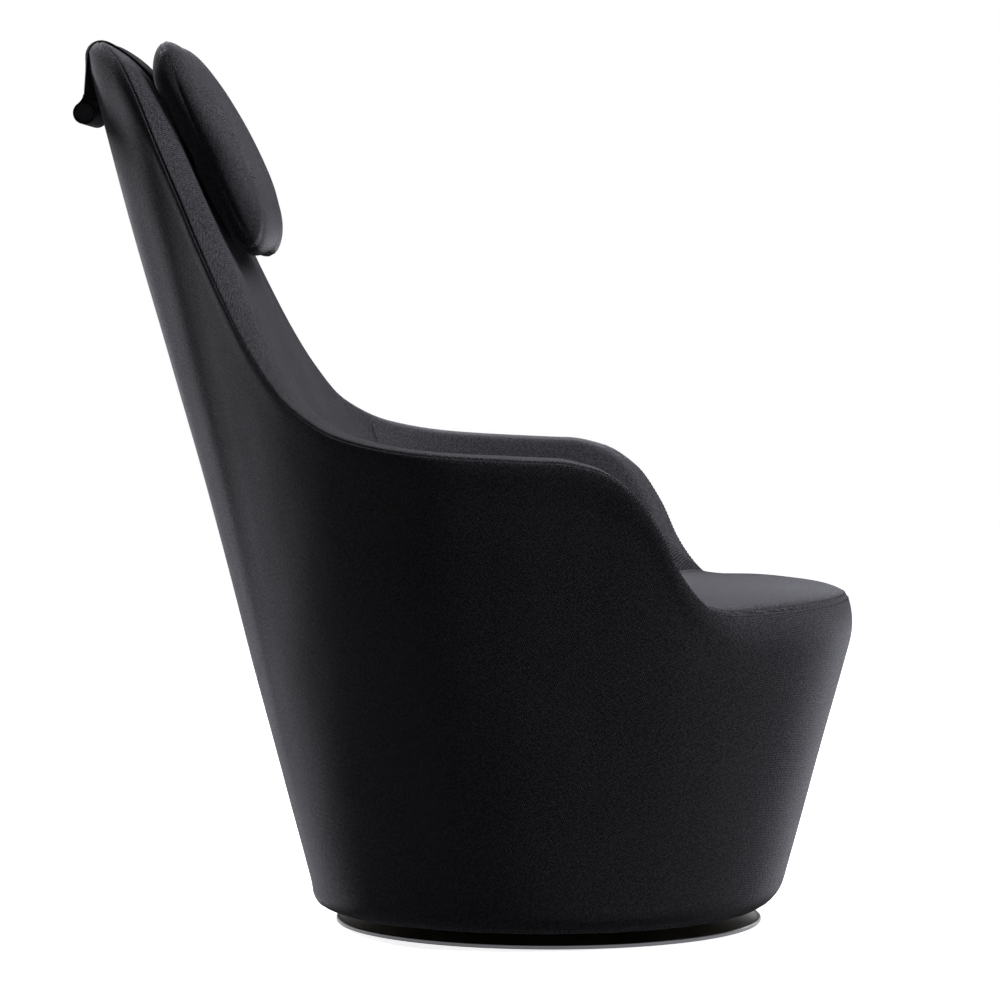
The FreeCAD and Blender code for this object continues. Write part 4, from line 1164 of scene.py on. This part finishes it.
def hemLine():
    places = outerRun[-1] - body["hemSeamAt"] - body["hemStitchIn"]
    line = [placesAt(at, outerRun[:, j], outerShape[:, j]) for j, at in enumerate(places)]
    return closedEven(np.array(line), 2.0)


joinLines = []
for side in (-1, 1):
    for offset in (-1, 1):
        j = np.argmin(np.abs(innerAngles - side * body["joinAngle"] - offset * body["joinStitchOut"]))
        line = innerShape[:, j] + innerNormal[:, j] * 0.1
        joinLines.append(evened(line[(innerRun[:, j] > 56) & (line[:, 2] > seat["creaseZ"] - 10)], 2.0))
hemStitches = sewn("hemStitch", [hemLine()], Pitch=0.006, Length=0.0045)
fineSewing = {"Pitch": 0.0045, "Length": 0.0034}
joinStitches = sewn("joinStitch", joinLines, Thickness=0.0007, **fineSewing)
restStitches = sewn("headrestStitch", restStitchLines, Thickness=0.0011, **fineSewing)
strapTopStitches = sewn("strapTopStitch", bandStitches(topSheet), Thickness=0.0008, **fineSewing)
print("stage: stitches")


def grained(name, low, high, scale, bump, stretch=(1, 1, 1), **shaderValues):
    # Colour and bump from one noise, stretched where the finish has a direction.
    material, tree, shader = blankMaterial(name, **shaderValues)
    drawn = addNode(tree, "ShaderNodeMapping", {"Vector": objectPlace(tree), "Scale": stretch})
    grain = noise(tree, drawn.outputs[0], scale, 4.0)
    tree.links.new(ramp(tree, grain, low, high), shader.inputs["Base Color"])
    bumped(tree, shader, grain, bump, 0.0003)
    return material


def brushedRound(name, low, high, rings, roughLow, roughHigh, blackAbove=None):
    # Metal turned or brushed round the swivel's axis, with a black coat above a height where it has one.
    material, tree, shader = blankMaterial(name, Metallic=1.0)
    place = objectPlace(tree)
    parts = addNode(tree, "ShaderNodeSeparateXYZ", {0: place})
    flat = addNode(tree, "ShaderNodeCombineXYZ", {"X": parts.outputs[0], "Y": parts.outputs[1]})
    radius = addNode(tree, "ShaderNodeVectorMath", {0: flat.outputs[0]}, operation="LENGTH").outputs["Value"]
    line = addNode(tree, "ShaderNodeCombineXYZ", {"X": calc(tree, "MULTIPLY", radius, rings),
                                                  "Y": calc(tree, "MULTIPLY", parts.outputs[2], rings)})
    streak = noise(tree, line.outputs[0], 1.0, 2.0)
    smear = noise(tree, place, 14.0, 3.0)
    colour = ramp(tree, streak, low, high)
    if blackAbove:
        upper = calc(tree, "GREATER_THAN", parts.outputs[2], blackAbove)
        colour = colourMix(tree, upper, colour, (0.006, 0.006, 0.0065, 1))
    tree.links.new(colour, shader.inputs["Base Color"])
    rough = addNode(tree, "ShaderNodeMapRange", {"Value": smear, "To Min": roughLow, "To Max": roughHigh})
    tree.links.new(rough.outputs[0], shader.inputs["Roughness"])
    bumped(tree, shader, streak, 0.15, 0.0002)
    return material


finishes = {
    "steel": grained("blackPowderCoat", (0.018, 0.018, 0.019), (0.035, 0.035, 0.036), 900.0, 0.25, Roughness=0.45),
    "plate": brushedRound("brushedAluminium", (0.09, 0.09, 0.097), (0.15, 0.15, 0.16), 2400.0, 0.32, 0.46, 0.0061),
    "black_cover": grained("blackLacquer", (0.004, 0.004, 0.0045), (0.009, 0.009, 0.01), 1400.0, 0.1,
                           Roughness=0.3, **{"Specular IOR Level": 0.3}),
    "glide": grained("blackNylon", (0.02, 0.02, 0.02), (0.04, 0.04, 0.04), 500.0, 0.2, Roughness=0.6),
    "post": brushedRound("turnedSteel", (0.42, 0.42, 0.43), (0.58, 0.58, 0.59), 3000.0, 0.18, 0.32),
    "bush": grained("naturalNylon", (0.62, 0.60, 0.54), (0.72, 0.70, 0.64), 120.0, 0.05, Roughness=0.42),
    "zinc": grained("zincPlate", (0.50, 0.50, 0.47), (0.66, 0.66, 0.62), 260.0, 0.08, Metallic=1.0, Roughness=0.35),
    "plywood": grained("birchPly", (0.36, 0.24, 0.13), (0.56, 0.41, 0.25), 40.0, 0.25, (1, 14, 30), Roughness=0.6),
    "webbing": grained("elasticWebbing", (0.03, 0.03, 0.032), (0.11, 0.11, 0.11), 60.0, 0.5, (1, 30, 1),
                       Roughness=0.85),
    "roll_steel": grained("steelBar", (0.35, 0.35, 0.36), (0.5, 0.5, 0.5), 300.0, 0.08, (1, 6, 6), Metallic=1.0,
                          Roughness=0.35),
}
for entry in frame["record"]["subparts"]:
    finish = finishes.get(entry["material_slot"])
    if finish:
        data = frame["nodes"][entry["node"]].data
        data.materials.clear()
        data.materials.append(finish)
print("stage: frame finishes")


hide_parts("outer_cover", "outer_foam")
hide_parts("inner_cover", "inner_foam")
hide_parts("seat_cover", "seat_topper", "seat_core")
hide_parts("headrest_cover", "headrest_core")
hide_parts("strap_top")
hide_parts("strap_front")
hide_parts("strap_rear")
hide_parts("roll_sleeve")
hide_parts("roll_discs")
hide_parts("roll_weight")
rollCore.data.materials[0] = finishes["roll_steel"]
for item, bodyName, slotName, fill in (
        (outerPanel, "chair", "fabric", 0.9), (innerPanel, "chair", "fabric", 0.9),
        (seatObject, "chair", "fabric", 0.85), (restObject, "headrest", "fabric", 0.8)):
    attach(item, bodyName)
for item, bodyName, slotName in ((bodyStitches, "chair", "fabric"), (hemStitches, "chair", "fabric"),
                                 (joinStitches, "chair", "fabric"), (restStitches, "headrest", "fabric"),
                                 (strapTop, "chair", "strap"), (strapTopStitches, "chair", "strap"),
                                 (sleeve, "counterweight", "strap"), (rollCaps, "counterweight", "roll_end"),
                                 (rollCore, "counterweight", "roll_steel")):
    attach(item, bodyName)
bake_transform(strapFront)
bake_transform(strapRear)


def seenDirectly(tree):
    # 1 for camera, mirror and glass rays, 0 for the light that only lands on a surface.
    rays = addNode(tree, "ShaderNodeLightPath").outputs
    return calc(tree, "MAXIMUM", rays["Is Camera Ray"],
                calc(tree, "MAXIMUM", rays["Is Glossy Ray"], rays["Is Transmission Ray"]))


def studio():
    material, tree, shader = blankMaterial("paleFloor", **{"Roughness": 0.9, "Specular IOR Level": 0.0,
                                                           "Emission Color": (1, 1, 1, 1)})
    seen = seenDirectly(tree)
    tree.links.new(colourMix(tree, seen, *lightPlan["floorTones"]), shader.inputs["Base Color"])
    away = addNode(tree, "ShaderNodeVectorMath", {0: objectPlace(tree)}, operation="LENGTH").outputs["Value"]
    glow = addNode(tree, "ShaderNodeMapRange", {"Value": away, "From Min": 1.2, "From Max": 5.0,
                                                "To Min": lightPlan["floorGlow"], "To Max": 1.0}).outputs[0]
    tree.links.new(calc(tree, "MULTIPLY", seen, glow), shader.inputs["Emission Strength"])
    side = lightPlan["floorHalf"]
    corners = [(-side, -side, 0), (side, -side, 0), (side, side, 0), (-side, side, 0)]
    floor = meshObject("floor", corners, [(0, 1, 2, 3)], material)
    world = bpy.data.worlds.new("studio")
    bpy.context.scene.world = world
    world.use_nodes = True
    sky = world.node_tree
    background = sky.nodes["Background"]
    seen = seenDirectly(sky)
    level = calc(sky, "ADD", calc(sky, "MULTIPLY", seen, 1 - lightPlan["around"]), lightPlan["around"])
    background.inputs["Color"].default_value = (1, 1, 1, 1)
    sky.links.new(level, background.inputs["Strength"])
    for name, place, size, power in lightPlan["lamps"]:
        data = bpy.data.lights.new(name, "AREA")
        data.shape = "RECTANGLE"
        data.size, data.size_y = size
        data.energy = power
        lamp = linked(name, data)
        lamp.location = place
        lamp.rotation_euler = (Vector(lightPlan["aim"]) - Vector(place)).to_track_quat("-Z", "Y").to_euler()


lightPlan = {
    "around": 0.038, "floorGlow": 0.86, "aim": (0, 0.05, 0.5), "floorHalf": 9000.0,
    "floorTones": ((0.07, 0.07, 0.07, 1), (0.9, 0.9, 0.9, 1)),  # for the light that lands on it, and as it is seen
    "lamps": (("topSoftbox", (-0.9, -1.5, 2.85), (0.9, 2.0), 106),
              ("frontStrip", (2.8, -2.4, 2.25), (0.9, 2.0), 62),
              ("rearStrip", (2.1, 2.7, 2.6), (0.8, 2.2), 235)),
}
studio()
cameraPlan = {"place": (-5.419, -0.1435, 0.768), "aim": (0, 0.0597, 0.5165), "lens": 159.4}
cameraData = bpy.data.cameras.new("camera")
cameraData.lens = cameraPlan["lens"]
cameraData.sensor_width = 36
cameraData.clip_end = 60
camera = linked("camera", cameraData)
camera.location = cameraPlan["place"]
camera.rotation_euler = (Vector(cameraPlan["aim"]) - camera.location).to_track_quat("-Z", "Y").to_euler()
bpy.context.scene.camera = camera
bpy.context.scene.view_settings.view_transform = "Standard"
print("stage: studio")
